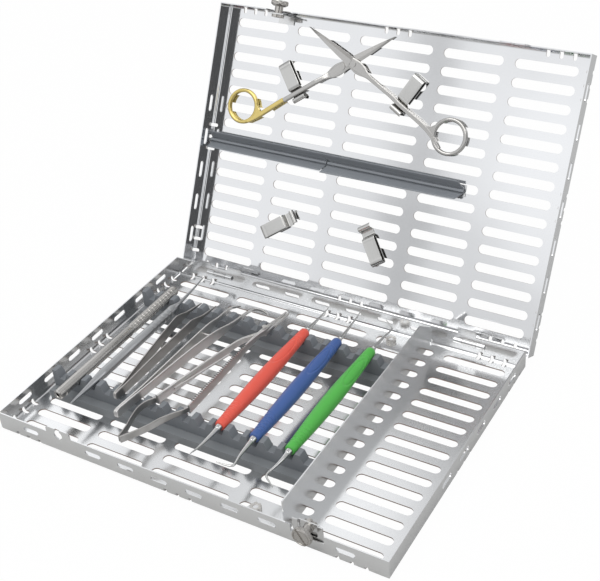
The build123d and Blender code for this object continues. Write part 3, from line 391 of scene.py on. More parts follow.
for side, comb_y in (("front", front_comb_y), ("back", back_comb_y)):
    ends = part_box("comb_" + side)
    outline = [(ends[0].x * 1000, comb_foot), (ends[0].x * 1000, comb_top)]
    for k in range(notch_count):
        x = notch_x(k)
        outline += [(x - notch_mouth, comb_top), (x - notch_bed, comb_floor),
                    (x + notch_bed, comb_floor), (x + notch_mouth, comb_top)]
    outline += [(ends[1].x * 1000, comb_top), (ends[1].x * 1000, comb_foot)]
    comb = piece("comb_silicone_" + side,
                 *prism(outline, comb_y - comb_half, comb_y + comb_half, lambda a, b, d: (a, d, b)),
                 grey_silicone, "base", ("comb_" + side,), bevel=0.5)


# ---------------------------------------------------------------- hold-down bar
# A steel channel riveted across the lid carries two silicone strips end to end. Each has two
# springy lips that open in a V and press on the instruments when the lid is shut.
def lid_point(x, v, h):
    """A point over the open lid's panel, in millimetres: v towards the free edge, h off the sheet."""
    angle = math.radians(lid_angle)
    dy, dz = -v - hinge_y, lid_inside - h - hinge_z
    return (x, hinge_y + dy * math.cos(angle) - dz * math.sin(angle),
            hinge_z + dy * math.sin(angle) + dz * math.cos(angle))


finish_nodes(hinge_steel, "bar_channel", "bar_rivets")
# Section of a strip: across the bar, and out from the lid's panel.
lip = [(-2.0, 0.6), (-6.1, 7.0), (-6.35, 7.6), (-6.0, 7.8), (-5.5, 7.5), (-3.2, 4.2), (-1.3, 2.3),
       (-0.75, 4.5), (0.75, 4.5),
       (1.3, 2.3), (3.2, 4.2), (5.5, 7.5), (6.0, 7.8), (6.35, 7.6), (6.1, 7.0), (2.0, 0.6)]
bar_v, lip_reach = -1.5, 6.35
strip_silicone = matt("strip_silicone", (0.212, 0.224, 0.243), 0.40, 0.06, grain=0.000008)
# The lips' corners stand back from the strip's ends (slant), and one lip opens wider at the joint.
for side, near_slant, far_slant, flare, near_shift, far_shift in (
        ("left", 0.0, 3.4, 0.0, 0.0, 3.2),
        ("right", 4.0, 4.6, 0.2, 3.7, 0.0)):
    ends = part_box("hold_down_" + side)
    x0, x1 = ends[0].x * 1000 + near_shift, ends[1].x * 1000 + far_shift

    def strip_point(a, b, end):
        slant = near_slant if end == 0 else far_slant
        out = a * (1 + (flare if end == 0 and a < 0 else 0) * min(1.0, abs(a) / lip_reach))
        return lid_point((x0, x1)[end] - slant * abs(a) / lip_reach, bar_v + out, b)

    strip = piece("hold_down_silicone_" + side, *prism(lip, 0, 1, strip_point), strip_silicone, "lid",
                  ("hold_down_" + side,), bevel=0.12)
    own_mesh(strip)


# ---------------------------------------------------------------- spring clips
# Each clip is one strip of spring steel: a foot riveted to the lid, a rounded fold, a rising
# leg, a groove that grips a shank, and a turned-out lip.
def curve_through(points, steps):
    """Points of a smooth line through the given ones; each may hold any number of values."""
    out = []
    for i in range(len(points) - 1):
        p0, p1 = points[max(i - 1, 0)], points[i]
        p2, p3 = points[i + 1], points[min(i + 2, len(points) - 1)]
        for k in range(steps):
            t = k / steps
            out.append(tuple(0.5 * (2 * b + (c - a) * t + (2 * a - 5 * b + 4 * c - d) * t * t
                                    + (3 * b - a - 3 * c + d) * t ** 3)
                             for a, b, c, d in zip(p0, p1, p2, p3)))
    return out + [tuple(points[-1])]


def loft(stations, across, square, sides):
    """Closed bar through stations (x, y, z, half width, half height); width lies along across.

    A low square gives a bar with flat sides, 1 gives a round one.
    """
    vertices, faces = [], []
    across = Vector(across).normalized()
    count = len(stations)
    for i, (x, y, z, width, height) in enumerate(stations):
        ahead = Vector(stations[min(i + 1, count - 1)][:3]) - Vector(stations[max(i - 1, 0)][:3])
        ahead.normalize()
        side = (across - ahead * across.dot(ahead)).normalized()
        rise = ahead.cross(side)
        for k in range(sides):
            a = 2 * math.pi * (k + 0.5) / sides
            c, s = math.cos(a), math.sin(a)
            c = math.copysign(abs(c) ** square, c)
            s = math.copysign(abs(s) ** square, s)
            vertices.append(Vector((x, y, z)) + side * width * c + rise * height * s)
    for i in range(count - 1):
        for k in range(sides):
            j = (k + 1) % sides
            faces.append((i * sides + k, i * sides + j, (i + 1) * sides + j, (i + 1) * sides + k))
    faces += [tuple(range(sides - 1, -1, -1)), tuple(range((count - 1) * sides, count * sides))]
    return vertices, faces


clip_steel = steel("spring_strip", (0.60, 0.595, 0.58), 0.15, 0.06, wave=0.0009, grain=0.000010,
                   grain_scale=(2200, 300, 300))
finish_nodes(clip_steel, "clip_free_left_rivet", "clip_free_right_rivet", "clip_hinge_left_rivet",
             "clip_hinge_right_rivet")
# The bent strip from the side: along the clip, and out from the lid's panel.
strip_half_width, strip_half_thickness = 4.9, 0.25
clip_bend = [(4.0, 0.33), (9.0, 0.33), (16.0, 0.33), (21.0, 0.33), (22.6, 0.55), (23.6, 1.4), (23.9, 2.6),
             (23.5, 3.8), (22.4, 4.6), (21.0, 4.85), (19.0, 4.7), (12.0, 4.45), (6.4, 4.3), (4.6, 4.25),
             (3.6, 3.8), (2.9, 2.6), (2.4, 1.1), (1.6, 0.42), (0.0, 0.33), (-1.6, 0.42), (-2.4, 1.1),
             (-2.8, 2.6), (-3.4, 3.8), (-4.5, 4.2), (-5.6, 3.8), (-6.3, 2.7)]
for name, (x, v, heading), body in (("clip_free_left", (-70.3, 43.7, 125.5), "lid"),
                                    ("clip_free_right", (12.2, 47.7, 60.2), "lid"),
                                    ("clip_hinge_left", (-60.1, -48.3, 216.0), "swivel_clip_left"),
                                    ("clip_hinge_right", (4.5, -45.0, -55.7), "swivel_clip_right")):
    a = math.radians(heading)
    line = [lid_point(x + u * math.cos(a), v + u * math.sin(a), h) for u, h in curve_through(clip_bend, 4)]
    beside = Vector(lid_point(-math.sin(a), math.cos(a), 0)) - Vector(lid_point(0, 0, 0))
    stations = [p + (strip_half_width, strip_half_thickness) for p in line]
    made = piece(name + "_strip", *loft(stations, beside, 0.25, 16), clip_steel, body, (name,), angle=40)


# ---------------------------------------------------------------- scissors
# Two pairs of fine surgical scissors lie crossed in the clips: stainless blades and shanks, box
# joint with a screw, round finger rings. One pair's rings and half its shanks are gold-plated.
def ring_bar(x, v, h, radius, thick, deep):
    """Finger ring: a rounded bar bent into a circle over the lid panel."""
    vertices, faces = [], []
    around, sides = 64, 14
    for i in range(around):
        a = 2 * math.pi * i / around
        for k in range(sides):
            b = 2 * math.pi * k / sides
            r = radius + thick * math.cos(b)
            vertices.append(lid_point(x + r * math.cos(a), v + r * math.sin(a), h + deep * math.sin(b)))
    for i in range(around):
        for k in range(sides):
            faces.append((i * sides + k, i * sides + (k + 1) % sides,
                          ((i + 1) % around) * sides + (k + 1) % sides, ((i + 1) % around) * sides + k))
    return vertices, faces


def joined(*parts):
    """Several closed shapes as one mesh."""
    vertices, faces = [], []
    for more_vertices, more_faces in parts:
        start = len(vertices)
        vertices += list(more_vertices)
        faces += [tuple(i + start for i in face) for face in more_faces]
    return vertices, faces


def ground_blade(stations, beside, ridge):
    """Closed blade through (point, half width, half depth); its upper face falls away from a ridge line."""
    vertices, faces = [], []
    for i, (point, width, depth) in enumerate(stations):
        section = ((-1.0, -0.6), (-1.0, 0.15), (ridge, 1.0), (1.0, -0.1), (1.0, -0.6))
        vertices += [Vector(point) + beside * width * a + panel_normal * depth * b for a, b in section]
        if i:
            k = 5 * i
            faces += [(k - 5 + j, k - 5 + (j + 1) % 5, k + (j + 1) % 5, k + j) for j in range(5)]
    n = len(vertices)
    return vertices, faces + [(4, 3, 2, 1, 0), tuple(range(n - 5, n))]


scissor_steel = steel("scissor_steel", (0.50, 0.49, 0.475), 0.17, 0.05, grain=0.00001,
                      grain_scale=(250, 1800, 1800))
# A dark steel whose low colour is painted shade: it darkens the scissors' far bevel and the needle holder's
# ribs.
painted_shade_steel = steel("dark_steel_painted_shade", (0.20, 0.195, 0.19), 0.30, 0.06, grain=0.00001,
                     grain_scale=(2500, 2500, 300))
gold_plate = steel("gold_plate", (0.74, 0.59, 0.22), 0.24, 0.07, grain=0.00001)
panel_normal = Vector(lid_point(0, 0, 1)) - Vector(lid_point(0, 0, 0))
shank_half, ring_radius, ring_half = 1.6, 11.7, 1.35
# A shank runs from the ring towards the joint; a web of metal fills the corner between ring and
# shank. The layers are the heights over the panel, lower and upper, of a half's blade and handle.
gold_shank = ((-107.6, 16.4), (-101.0, 21.0), (-92.6, 27.6), (-80.4, 37.0))
gold_web = ((-104.4, 33.8), (-102.2, 31.2), (-100.3, 27.6), (-98.0, 25.6), (-94.2, 26.6), (-98.5, 22.9),
            (-102.5, 19.9), (-105.7, 18.8), (-103.9, 21.2), (-102.4, 25.0), (-102.8, 29.5))
gold_layers = ((0.3, 1.0, 0.6, 2.1), (1.1, 1.8, 2.2, 3.7))
plain_shank = ((46.5, 23.5), (40.0, 30.5), (32.6, 36.4), (20.0, 43.4))
plain_web = ((43.6, 40.2), (40.8, 38.6), (38.0, 36.8), (34.6, 36.6), (37.4, 32.6), (40.4, 29.9),
             (42.6, 27.2), (41.6, 30.0), (41.0, 33.4), (41.8, 37.0))
plain_layers = ((2.0, 2.8, 0.6, 2.1), (2.9, 3.7, 2.2, 3.7))
for name, pivot, heading, ring, shank, web, layers, plated in (
        ("scissors_gold", (-37.7, 66.9), 35.5, (-114.0, 27.1), gold_shank, gold_web, gold_layers, True),
        ("scissors_steel", (-28.6, 70.2), 152.0, (52.3, 32.4), plain_shank, plain_web, plain_layers, False)):
    a = math.radians(heading)
    beside = Vector(lid_point(-math.sin(a), math.cos(a), 0)) - Vector(lid_point(0, 0, 0))

    def along(s, t):
        """A point so far from the screw towards the tips, and to the side."""
        return (pivot[0] + s * math.cos(a) - t * math.sin(a), pivot[1] + s * math.sin(a) + t * math.cos(a))

    for half, (blade_low, blade_high, handle_low, handle_high), lean in (("lower", layers[0], 1),
                                                                         ("upper", layers[1], -1)):
        body = name if half == "lower" else name + "_half"
        hb, hg = (blade_low + blade_high) / 2, (handle_low + handle_high) / 2
        thin, deep = (blade_high - blade_low) / 2, (handle_high - handle_low) / 2
        blade = [(2.6, 0.3 * lean, hb, 3.3, thin), (10, 0.25 * lean, hb, 3.1, thin),
                 (24, 0.1 * lean, hb, 2.3, thin), (38, 0, hb, 0.95, thin * 0.9),
                 (45, 0, hb, 0.12, thin * 0.5)]
        blade = [(lid_point(*along(s, t), h), w, d) for s, t, h, w, d in curve_through(blade, 5)]
        joint = [(-24, 0, hg, 1.6, deep * 0.9), (-17, 0, (hb + hg) / 2, 1.7, deep * 0.8),
                 (-12, lean * 0.2, hb, 2.3, thin), (-8, lean * 0.6, hb, 3.3, thin),
                 (-4, lean * 0.7, hb, 3.8, thin), (0.5, lean * 0.5, hb, 3.5, thin),
                 (2.4, lean * 0.3, hb, 3.35, thin)]
        joint = [lid_point(*along(s, t), h) + (w, d) for s, t, h, w, d in curve_through(joint, 5)]
        if plated:
            line = [along(s, 0) for s in (-52, -46, -40, -32, -26, -23)]
        else:
            line = [(20.0, 43.4), (12.2, 47.7)] + [along(s, 0) for s in (-38, -30, -23)]
        line = [lid_point(*spot, hg) + (shank_half, deep) for spot in line]
        steel_part = joined(ground_blade(blade, beside, 0.25 * lean), loft(joint, beside, 0.5, 16),
                            loft(curve_through(line, 4), beside, 0.5, 16))
        handle_line = [lid_point(*spot, hg) + (w, deep) for spot, w in zip(shank, (0.9, 1.5, 1.7, 1.6))]
        handle = joined(loft(curve_through(handle_line, 6), beside, 0.5, 16),
                        ring_bar(*ring, hg, ring_radius, ring_half, deep),
                        prism(web, hg - deep * 0.9, hg + deep * 0.9, lid_point))
        if plated:
            made = piece(name + "_blade_" + half, *steel_part, scissor_steel, body, angle=11)
            made = piece(name + "_ring_" + half, *handle, gold_plate, body, (name + "_" + half,), angle=40)
        else:
            made = piece(name + "_half_" + half, *joined(steel_part, handle), scissor_steel, body,
                         (name + "_" + half,), angle=11)
            # The blade's far bevel is ground; its darkness is painted shade, a dark steel on one of five
            # faces at each station.
            made.data.materials.append(painted_shade_steel)
            for i in range(5 * (len(blade) - 1)):
                made.data.polygons[i].material_index = int(i % 5 == 1)
finish_nodes(scissor_steel, "scissors_gold_screw", "scissors_steel_screw")


# ---------------------------------------------------------------- turn latches
# Machined heads with a knurled rim and a coin slot, on necks with two flats, in brackets of bent
# sheet with a nut behind; a guide plate stands behind the front wall. One latch sits on each tray.
def lathe(profile, x, z, sides, shape=None):
    """A piece turned about a line along Y from (y, radius); shape may change the radius by angle."""
    vertices, faces = [], []
    for y, radius in profile:
        for k in range(sides):
            a = 2 * math.pi * k / sides
            r = radius if shape is None else shape(y, a, radius)
            vertices.append((x + r * math.sin(a), y, z + r * math.cos(a)))
    for i in range(len(profile) - 1):
        for k in range(sides):
            j = (k + 1) % sides
            faces.append((i * sides + k, i * sides + j, (i + 1) * sides + j, (i + 1) * sides + k))
    faces += [tuple(range(sides - 1, -1, -1)), tuple(range((len(profile) - 1) * sides, len(profile) * sides))]
    return vertices, faces


def knurled(y, a, radius):
    """The rim's knurl: grooves along the turning axis."""
    return radius - (0.16 if -104.9 < y < -102.9 and math.cos(46 * a) < 0 else 0.0)


finish_nodes(hinge_steel, "latch_bracket_lid", "latch_bracket_base", "ear_plate")
knob_steel = steel("turned_knob", (0.52, 0.50, 0.475), 0.26, 0.08, grain=0.00002,
                   grain_scale=(400, 3000, 400))
finish_nodes(knob_steel, "latch_nut_lid", "latch_nut_base")
knob_side, knob_height = 89.5, 14.7
# The head from its face to the neck's end: place along the axis, and radius.
head = [(-105.3, 0.1), (-105.3, 4.45), (-105.1, 4.55), (-105.1, 4.95), (-105.3, 5.05), (-105.65, 5.15),
        (-105.65, 5.6), (-105.4, 5.95), (-104.85, 6.1)]
head += [(-104.8 + 0.5 * k, 6.2) for k in range(4)]
head += [(-102.8, 6.05), (-102.3, 5.4), (-101.65, 4.2), (-101.65, 3.0), (-95.4, 2.95), (-95.4, 0.1)]
slot_half_length, slot_half_width, slot_front, slot_floor = 8, 0.7, -106.5, -104.75
for place, knob_x, turn in (("base", knob_side, -60), ("lid", -knob_side, 8)):
    vertices, faces = lathe(head, 0.0, 0.0, 92, knurled)
    c, s = math.cos(math.radians(turn)), math.sin(math.radians(turn))
    corners = [(u * c - w * s, y, u * s + w * c) for y in (slot_front, slot_floor)
               for u, w in ((-slot_half_length, -slot_half_width), (slot_half_length, -slot_half_width),
                            (slot_half_length, slot_half_width), (-slot_half_length, slot_half_width))]

    def knob_point(p):
        """A point of the head in the closed cassette, moved to the open lid if the latch sits there."""
        x, y, z = p[0] + knob_x, p[1], p[2] + knob_height
        return Vector((x, y, z)) if place == "base" else Vector(lid_point(x, -y, lid_inside - z))

    cutter = bpy.data.meshes.new("coin_" + place)
    cutter.from_pydata([knob_point(corner) * 0.001 for corner in corners], [],
                       [(0, 1, 2, 3), (7, 6, 5, 4), (0, 4, 5, 1), (1, 5, 6, 2), (2, 6, 7, 3), (3, 7, 4, 0)])
    tool = bpy.data.objects.new("coin_" + place, cutter)
    scene.collection.objects.link(tool)
    made = piece("latch_head_" + place, [knob_point(p) for p in vertices], faces, knob_steel,
                 "latch_" + place, ("latch_knob_" + place,), angle=28)
    slot_cut = made.modifiers.new("slot", "BOOLEAN")
    slot_cut.operation, slot_cut.object, slot_cut.solver = "DIFFERENCE", tool, "EXACT"
    bpy.context.view_layer.objects.active = made
    bpy.ops.object.modifier_apply(modifier=slot_cut.name)
    bpy.data.objects.remove(tool)


# ---------------------------------------------------------------- mirror handle
# A hollow steel handle for a mouth mirror: the front half is smooth, the back half is milled
# with a square grid for grip, and a waisted collar joins the two.
milled_start, milled_end, milled_pitch, milled_columns, milled_depth = 7.0, 54.0, 3.3, 14, 0.34


def grid_milling(y, a, radius):
    """Grooves along and around the handle, between two ends."""
    if y < milled_start or y > milled_end:
        return radius
    along = (y - milled_start) / milled_pitch
    around = a / (2 * math.pi) * milled_columns
    cut = max(0.0, 1 - abs((along % 1) - 0.5) / 0.12) + max(0.0, 1 - abs((around % 1) - 0.5) / 0.16)
    return radius - milled_depth * min(1.0, cut)


handle_steel = steel("mirror_handle_steel", (0.60, 0.585, 0.56), 0.24, 0.07, grain=0.00001,
                     grain_scale=(1500, 120, 1500))
mirror_x, mirror_z, mirror_r = -111.2, 18.87, 3.6
smooth_half = [(-66.0, 1.4), (-72.2, 1.4), (-72.7, 1.7), (-72.7, 3.0), (-72.2, 3.5), (-68.4, 3.6),
               (-68.2, 3.3), (-67.6, 3.3), (-67.4, 3.6), (-40.0, 3.6),
               (2.6, 3.6), (3.2, 3.3), (4.2, 3.2), (5.4, 3.25)]
made = piece("mirror_handle_smooth", *lathe(smooth_half, mirror_x, mirror_z, 56), handle_steel,
             "mirror_handle", ("mirror_handle_front",), angle=30)
fine_from, fine_to, fine_step = 6.0, 55.5, 0.2
fine_rings = round((fine_to - fine_from) / fine_step)
milled = [(5.4, 3.0), (5.6, 3.5)]
milled += [(fine_from + (fine_to - fine_from) * i / fine_rings, mirror_r) for i in range(fine_rings + 1)]
milled += [(56.6, 3.4), (57.3, 2.7), (57.3, 0.2)]
made = piece("mirror_handle_milled", *lathe(milled, mirror_x, mirror_z, 112, grid_milling), handle_steel,
             "mirror_handle", ("mirror_handle_back",), angle=30)

# ---------------------------------------------------------------- periodontal probe
# Turned steel handle with a long smooth cone in front, worn grip rings at the back and a fine
# drawn tip that bends a little.
probe_steel = steel("probe_steel", (0.50, 0.51, 0.52), 0.33, 0.08, grain=0.000025,
                    grain_scale=(900, 300, 900))
probe_x, probe_z = -98.7, 18.4
turned = [(-74.9, 0.1), (-74.6, 0.55), (-60.0, 1.7), (-42.5, 3.2), (-41.8, 3.4), (-41.2, 3.4), (-41.0, 3.28),
          (-12.0, 3.28), (-11.6, 3.4), (9.0, 3.4)]
ring_count, first_ring, ring_pitch = 6, 10.5, 4.2
for k in range(ring_count):
    y = first_ring + ring_pitch * k
    turned += [(y, 3.4), (y + 0.35, 3.05), (y + 1.0, 2.98), (y + 1.35, 3.4), (y + 2.6, 3.4)]
turned += [(37.0, 3.4), (38.4, 3.1), (43.0, 1.7), (46.0, 1.3)]
tip = [(probe_x, 45.0, probe_z, 1.3, 1.3), (probe_x - 0.5, 54.0, probe_z, 1.05, 1.05),
       (probe_x - 1.1, 63.0, probe_z, 0.8, 0.8), (probe_x - 1.9, 73.0, probe_z + 0.2, 0.5, 0.5),
       (probe_x - 2.4, 79.6, probe_z + 0.3, 0.22, 0.22)]
made = piece("probe_turned", *joined(lathe(turned, probe_x, probe_z, 40),
                                     loft(curve_through(tip, 5), (0, 0, 1), 1.0, 14)),
             probe_steel, "probe", ("probe",), angle=28)


# ---------------------------------------------------------------- tweezers
# Two pairs: straight anatomical tweezers and college tweezers with bent, toothed tips. Their
# spring legs are stamped from sheet, ground thin towards the points and welded at the end.
def lowered(points, z_mid, angle):
    """Tip a tool down towards the back comb, about the line where it crosses that comb."""
    a, y0 = math.radians(-angle), back_comb_y
    out = []
    for x, y, z, *rest in points:
        dy, dz = y - y0, z - z_mid
        out.append((x, y0 + dy * math.cos(a) - dz * math.sin(a),
                    z_mid + dy * math.sin(a) + dz * math.cos(a), *rest))
    return out


tweezer_steel = steel("tweezer_steel", (0.52, 0.505, 0.49), 0.3, 0.08, grain=0.000008,
                      grain_scale=(1200, 60, 1200))
leg_z, leg_tilt = 18.55, 0.93


def spring_leg(path):
    """One leg from (x, y, half thickness, half height) stations."""
    stations = curve_through([(x, y, leg_z, h, t) for x, y, t, h in path], 6)
    return loft(lowered(stations, leg_z, leg_tilt), (0, 0, 1), 0.35, 16)


made = piece("tweezers_straight_legs", *joined(
    spring_leg([(-75.6, -58.6, 0.6, 1.6), (-75.7, -57.6, 0.75, 2.7), (-75.9, -54.0, 0.7, 3.1),
                (-76.4, -46.0, 0.55, 3.3), (-81.3, -14.0, 0.55, 3.9), (-86.6, 20.0, 0.55, 4.1),
                (-87.0, 28.0, 0.5, 4.1), (-86.4, 37.0, 0.5, 1.5), (-85.4, 44.0, 0.5, 0.9),
                (-84.0, 52.0, 0.35, 0.35)]),
    spring_leg([(-74.9, -58.6, 0.6, 1.6), (-74.7, -57.6, 0.75, 2.7), (-74.5, -54.0, 0.7, 3.1),
                (-74.2, -46.0, 0.55, 3.3), (-74.7, -14.0, 0.55, 3.9), (-75.0, 20.0, 0.55, 4.1),
                (-74.8, 28.0, 0.5, 4.1), (-74.0, 38.0, 0.5, 1.4), (-73.2, 45.0, 0.5, 0.9),
                (-72.5, 53.0, 0.35, 0.35)])),
    tweezer_steel, "tweezers_straight", ("tweezers_straight",), angle=40)
pale_tweezers = steel("pale_tweezer_steel", (0.80, 0.785, 0.77), 0.3, 0.08, grain=0.000008,
                      grain_scale=(1200, 60, 1200))
made = piece("tweezers_bent_legs", *joined(
    spring_leg([(-64.1, -72.6, 0.6, 1.6), (-64.2, -71.4, 0.75, 2.8), (-64.0, -66.0, 0.7, 3.2),
                (-62.9, -46.0, 0.55, 3.3), (-62.6, -20.0, 0.55, 3.6), (-62.0, 25.0, 0.55, 4.1),
                (-62.0, 40.0, 0.6, 2.0), (-62.0, 50.0, 0.6, 1.2), (-61.0, 56.0, 0.6, 1.0),
                (-56.4, 60.6, 0.5, 0.6)]),
    spring_leg([(-63.1, -72.6, 0.6, 1.6), (-62.9, -71.4, 0.75, 2.8), (-62.7, -66.0, 0.7, 3.2),
                (-60.9, -46.0, 0.55, 3.3), (-56.4, 0.0, 0.55, 3.9), (-52.6, 24.0, 0.55, 4.0),
                (-49.8, 40.0, 0.7, 1.8), (-48.0, 55.0, 0.7, 1.1), (-45.5, 61.0, 0.7, 1.0),
                (-41.0, 62.4, 0.6, 0.9), (-34.0, 60.5, 0.5, 0.6)])),
    pale_tweezers, "tweezers_bent", ("tweezers_bent",), angle=40)
finish_nodes(pale_tweezers, "tweezers_bent_pin")

# ---------------------------------------------------------------- spring needle holder
# Microsurgical pattern in stainless steel: two flat handles, the right one ribbed for the thumb,
# on a riveted joint near the fine jaws. Two bowed leaf springs meet at the end, and a catch rod
# lies between.
holder_steel = steel("needle_holder_steel", (0.80, 0.785, 0.77), 0.36, 0.06, grain=0.000001,
                     grain_scale=(1200, 60, 1200))
holder_z, holder_tilt = 19.0, 1.1


def handle_bar(path):
    """A flat bar from (x, y, z, half thickness, half height) stations."""
    stations = curve_through([(x, y, z, h, t) for x, y, z, t, h in path], 6)
    return loft(lowered(stations, holder_z, holder_tilt), (0, 0, 1), 0.4, 16)


left_half = handle_bar([(-47.8, -49.8, 19, 0.8, 3.5), (-45.6, -38.0, 19, 0.8, 3.5),
                        (-40.0, -8.0, 19, 0.75, 3.3), (-36.0, 12.0, 19, 0.7, 2.8),
                        (-33.0, 25.0, 19, 0.8, 2.4), (-28.0, 35.0, 18.4, 1.2, 1.9),
                        (-24.5, 42.0, 18.0, 1.6, 1.6), (-22.9, 50.0, 18.2, 1.1, 1.4),
                        (-21.4, 59.0, 18.6, 0.8, 1.1), (-20.6, 66.6, 18.8, 0.45, 0.7)])
catch = handle_bar([(-44.4, -36.0, 19, 0.6, 0.6), (-41.2, -24.0, 19.0, 0.6, 0.6),
                    (-36.6, -7.0, 19.0, 0.6, 0.6), (-31.9, 10.0, 19.0, 0.55, 0.55)])
made = piece("needle_holder_left_handle", *joined(left_half, catch), holder_steel, "needle_holder",
             ("needle_holder_left",), angle=40)
ribs = []
rib_count, first_rib, rib_pitch, rib_reach, rib_z = 34, -44.0, 1.9, 0.82, 22.45
for k in range(rib_count):
    y = first_rib + rib_pitch * k
    x = -23.9 - 0.0295 * (y + 48.8)
    ribs.append(handle_bar([(x - rib_reach, y, rib_z, 0.4, 0.2), (x + rib_reach, y + 0.05, rib_z, 0.4, 0.2)]))
right_half = handle_bar([(-23.8, -48.8, 19, 0.8, 3.5), (-24.1, -38.0, 19, 0.8, 3.5),
                         (-25.0, -8.0, 19, 0.75, 3.4), (-25.6, 12.0, 19, 0.7, 3.1),
                         (-26.0, 25.0, 19.2, 0.8, 2.5), (-25.4, 35.0, 19.8, 1.2, 1.9),
                         (-24.5, 42.0, 20.2, 1.6, 1.6), (-23.8, 50.0, 19.8, 1.1, 1.4),
                         (-23.1, 59.0, 19.4, 0.8, 1.1), (-22.6, 66.8, 19.2, 0.45, 0.7)])
made = piece("needle_holder_right_handle", *joined(right_half, *ribs), holder_steel, "needle_holder_half",
             ("needle_holder_right",), angle=40)
# The faces after the handle's own belong to the ribs, which get the dark steel of painted shade.
made.data.materials.append(painted_shade_steel)
for polygon in made.data.polygons:
    polygon.material_index = int(polygon.index >= len(right_half[1]))
leaf = joined(
    handle_bar([(-48.3, -50.2, 19, 0.5, 2.2), (-51.3, -56.0, 19, 0.45, 2.4), (-52.4, -63.0, 19, 0.45, 2.6),
                (-50.8, -72.0, 19, 0.45, 2.6), (-48.2, -81.0, 19, 0.45, 2.6), (-46.6, -90.2, 19, 0.6, 2.6)]),
    handle_bar([(-24.2, -49.2, 19, 0.5, 2.0), (-26.2, -53.5, 19, 0.45, 2.0), (-29.6, -58.6, 19, 0.45, 2.2),
                (-33.6, -66.5, 19, 0.45, 2.6), (-37.6, -77.0, 19, 0.45, 2.6), (-45.4, -90.8, 19, 0.6, 2.6)]))
made = piece("needle_holder_leaf_spring", *leaf, tweezer_steel, "needle_holder", ("needle_holder_spring",),
             angle=40)
finish_nodes(holder_steel, "needle_holder_rivet")

# ---------------------------------------------------------------- scalers
# Three double-ended scalers: bright steel cores with bent working ends, and soft silicone
# handles moulded over them, each with grip rings at both ends and a thumb rest outline.
scaler_steel = steel("scaler_steel", (0.70, 0.70, 0.69), 0.16, 0.05, grain=0.000006)
grip_y, grip_length, scaler_z = -52.55, 105.0, 19.3


def grip_shape(turn):
    """How rings at both ends and a sunk, outlined thumb rest change a handle's radius."""
    ring_half, ring_deep, rest_deep, line_deep, line_half = 0.62, 0.42, 0.3, 0.6, 0.16

    def shape(y, a, radius):
        s = (y - grip_y) / grip_length
        cut = 0.0
        for k in range(6):
            for centre, phase in ((0.055 + 0.028 * k, 0.0), (0.945 - 0.028 * k, 0.5)):
                d = abs(s - centre) * grip_length
                side = 0.5 + 0.5 * math.cos(a - turn - phase)
                if d < ring_half and side > 0.32:
                    cut = max(cut, ring_deep * (1 - d / ring_half) * min(1, side * 2.2 - 0.7))
        across = math.atan2(math.sin(a - turn - 0.55), math.cos(a - turn - 0.55)) * radius
        lengthways = (s - 0.74) * grip_length
        rest = math.sqrt((across / 3.4) ** 2 + (lengthways / 14.0) ** 2)
        floor = rest_deep if rest < 1 else 0.0
        line = max(0.0, 1 - abs(rest - 1) / line_half)
        return radius - max(cut, floor + (line_deep - floor) * line)
    return shape


grip_profile = [(0.0, 2.0), (0.0, 2.7), (0.25, 3.2), (1.2, 3.5), (4.0, 3.62), (8.0, 3.78), (16.0, 4.2),
                (28.0, 4.75), (42.0, 5.15), (54.0, 5.2), (66.0, 5.0), (80.0, 4.5), (92.0, 3.95), (98.0, 3.75),
                (102.0, 3.62), (104.2, 3.4), (104.9, 2.9), (105.0, 2.0)]
grip_profile = grip_profile[:4] + curve_through(grip_profile[4:14], 26) + grip_profile[14:]
grip_line = [(grip_y + y, r) for y, r in grip_profile]
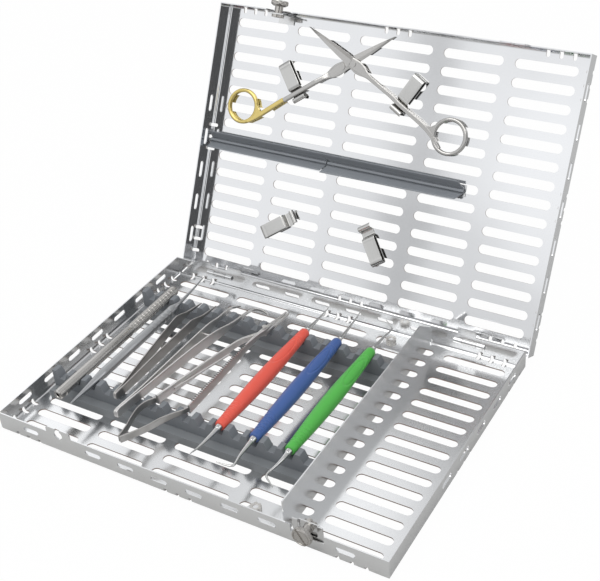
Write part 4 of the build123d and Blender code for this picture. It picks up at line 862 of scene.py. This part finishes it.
# Each scaler: its colour, its notch, the thumb rest's direction (radians), and its two working
# ends as (x, y, z, radius) from the ends of the handle.
for colour, tone, k, turn, front_end, back_end in (
        ("red", (0.70, 0.084, 0.052), 10, -0.5,
         [(0, -3, 0, 1.7), (-0.1, -8, 0, 1.45), (-0.4, -16, 0.2, 1.05), (-0.7, -23, 0.8, 0.65),
          (-1.0, -29.5, 2.0, 0.28)],
         [(0, 3, 0, 1.5), (0.3, 8, 0, 1.15), (0.8, 16, 0.2, 0.8), (1.3, 23, 0.7, 0.55),
          (2.0, 29.5, 2.0, 0.25)]),
        ("blue", (0.036, 0.092, 0.29), 12, -0.2,
         [(0, -3, 0, 1.7), (0.1, -8, 0, 1.45), (0.4, -16, 0, 1.0), (1.4, -22, 0, 0.8),
          (1.4, -25.4, 0.1, 0.72), (-2.0, -27.0, 0.4, 0.6), (-8.6, -27.8, 1.0, 0.25)],
         [(0, 3, 0, 1.5), (0, 9, 0.1, 1.1), (-0.1, 20, 0.7, 0.7), (-0.2, 28, 1.4, 0.5),
          (-0.4, 35.0, 3.0, 0.22)]),
        ("green", (0.068, 0.40, 0.052), 14, 0.1,
         [(0, -3, 0, 1.7), (0, -8, 0, 1.4), (-0.6, -14, 0, 0.95), (-1.7, -21, 0, 0.75),
          (-1.0, -24.4, 0.1, 0.68), (2.6, -27.4, 0.5, 0.55), (7.4, -31.0, 1.0, 0.25)],
         [(0, 3, 0, 1.5), (0.2, 9, 0.1, 1.1), (1.2, 19, 0.4, 0.75), (2.0, 25.0, 0.5, 0.65),
          (0.6, 28.0, 0.7, 0.55), (-5.4, 32.5, 1.5, 0.22)])):
    x = notch_x(k)
    y1 = grip_y + grip_length
    front = [(x + dx, grip_y + dy, scaler_z + dz, r, r) for dx, dy, dz, r in front_end]
    back = [(x + dx, y1 + dy, scaler_z + dz, r, r) for dx, dy, dz, r in back_end]
    core = [(grip_y - 3.4, 1.6), (grip_y - 2.9, 1.9), (grip_y - 1.4, 2.15), (grip_y - 0.3, 2.25),
            (grip_y, 2.0), (y1, 2.0),
            (y1 + 0.3, 2.1), (y1 + 1.2, 2.0), (y1 + 2.6, 1.7), (y1 + 3.2, 1.4)]
    made = piece("scaler_" + colour + "_ends", *joined(
        lathe(core, x, scaler_z, 32), loft(curve_through(front, 6), (0, 0, 1), 1.0, 14),
        loft(curve_through(back, 6), (0, 0, 1), 1.0, 14)), scaler_steel, "scaler_" + colour,
        ("scaler_" + colour + "_core",), angle=35)
    rubber = matt("silicone_" + colour, tone, 0.42, 0.05, grain=0.00002, grain_scale=1600, sheen=0.15)
    made = piece("scaler_" + colour + "_handle", *lathe(grip_line, x, scaler_z, 120, grip_shape(turn)),
                 rubber, "scaler_" + colour, ("scaler_" + colour + "_grip",), angle=50)

bpy.context.view_layer.update()
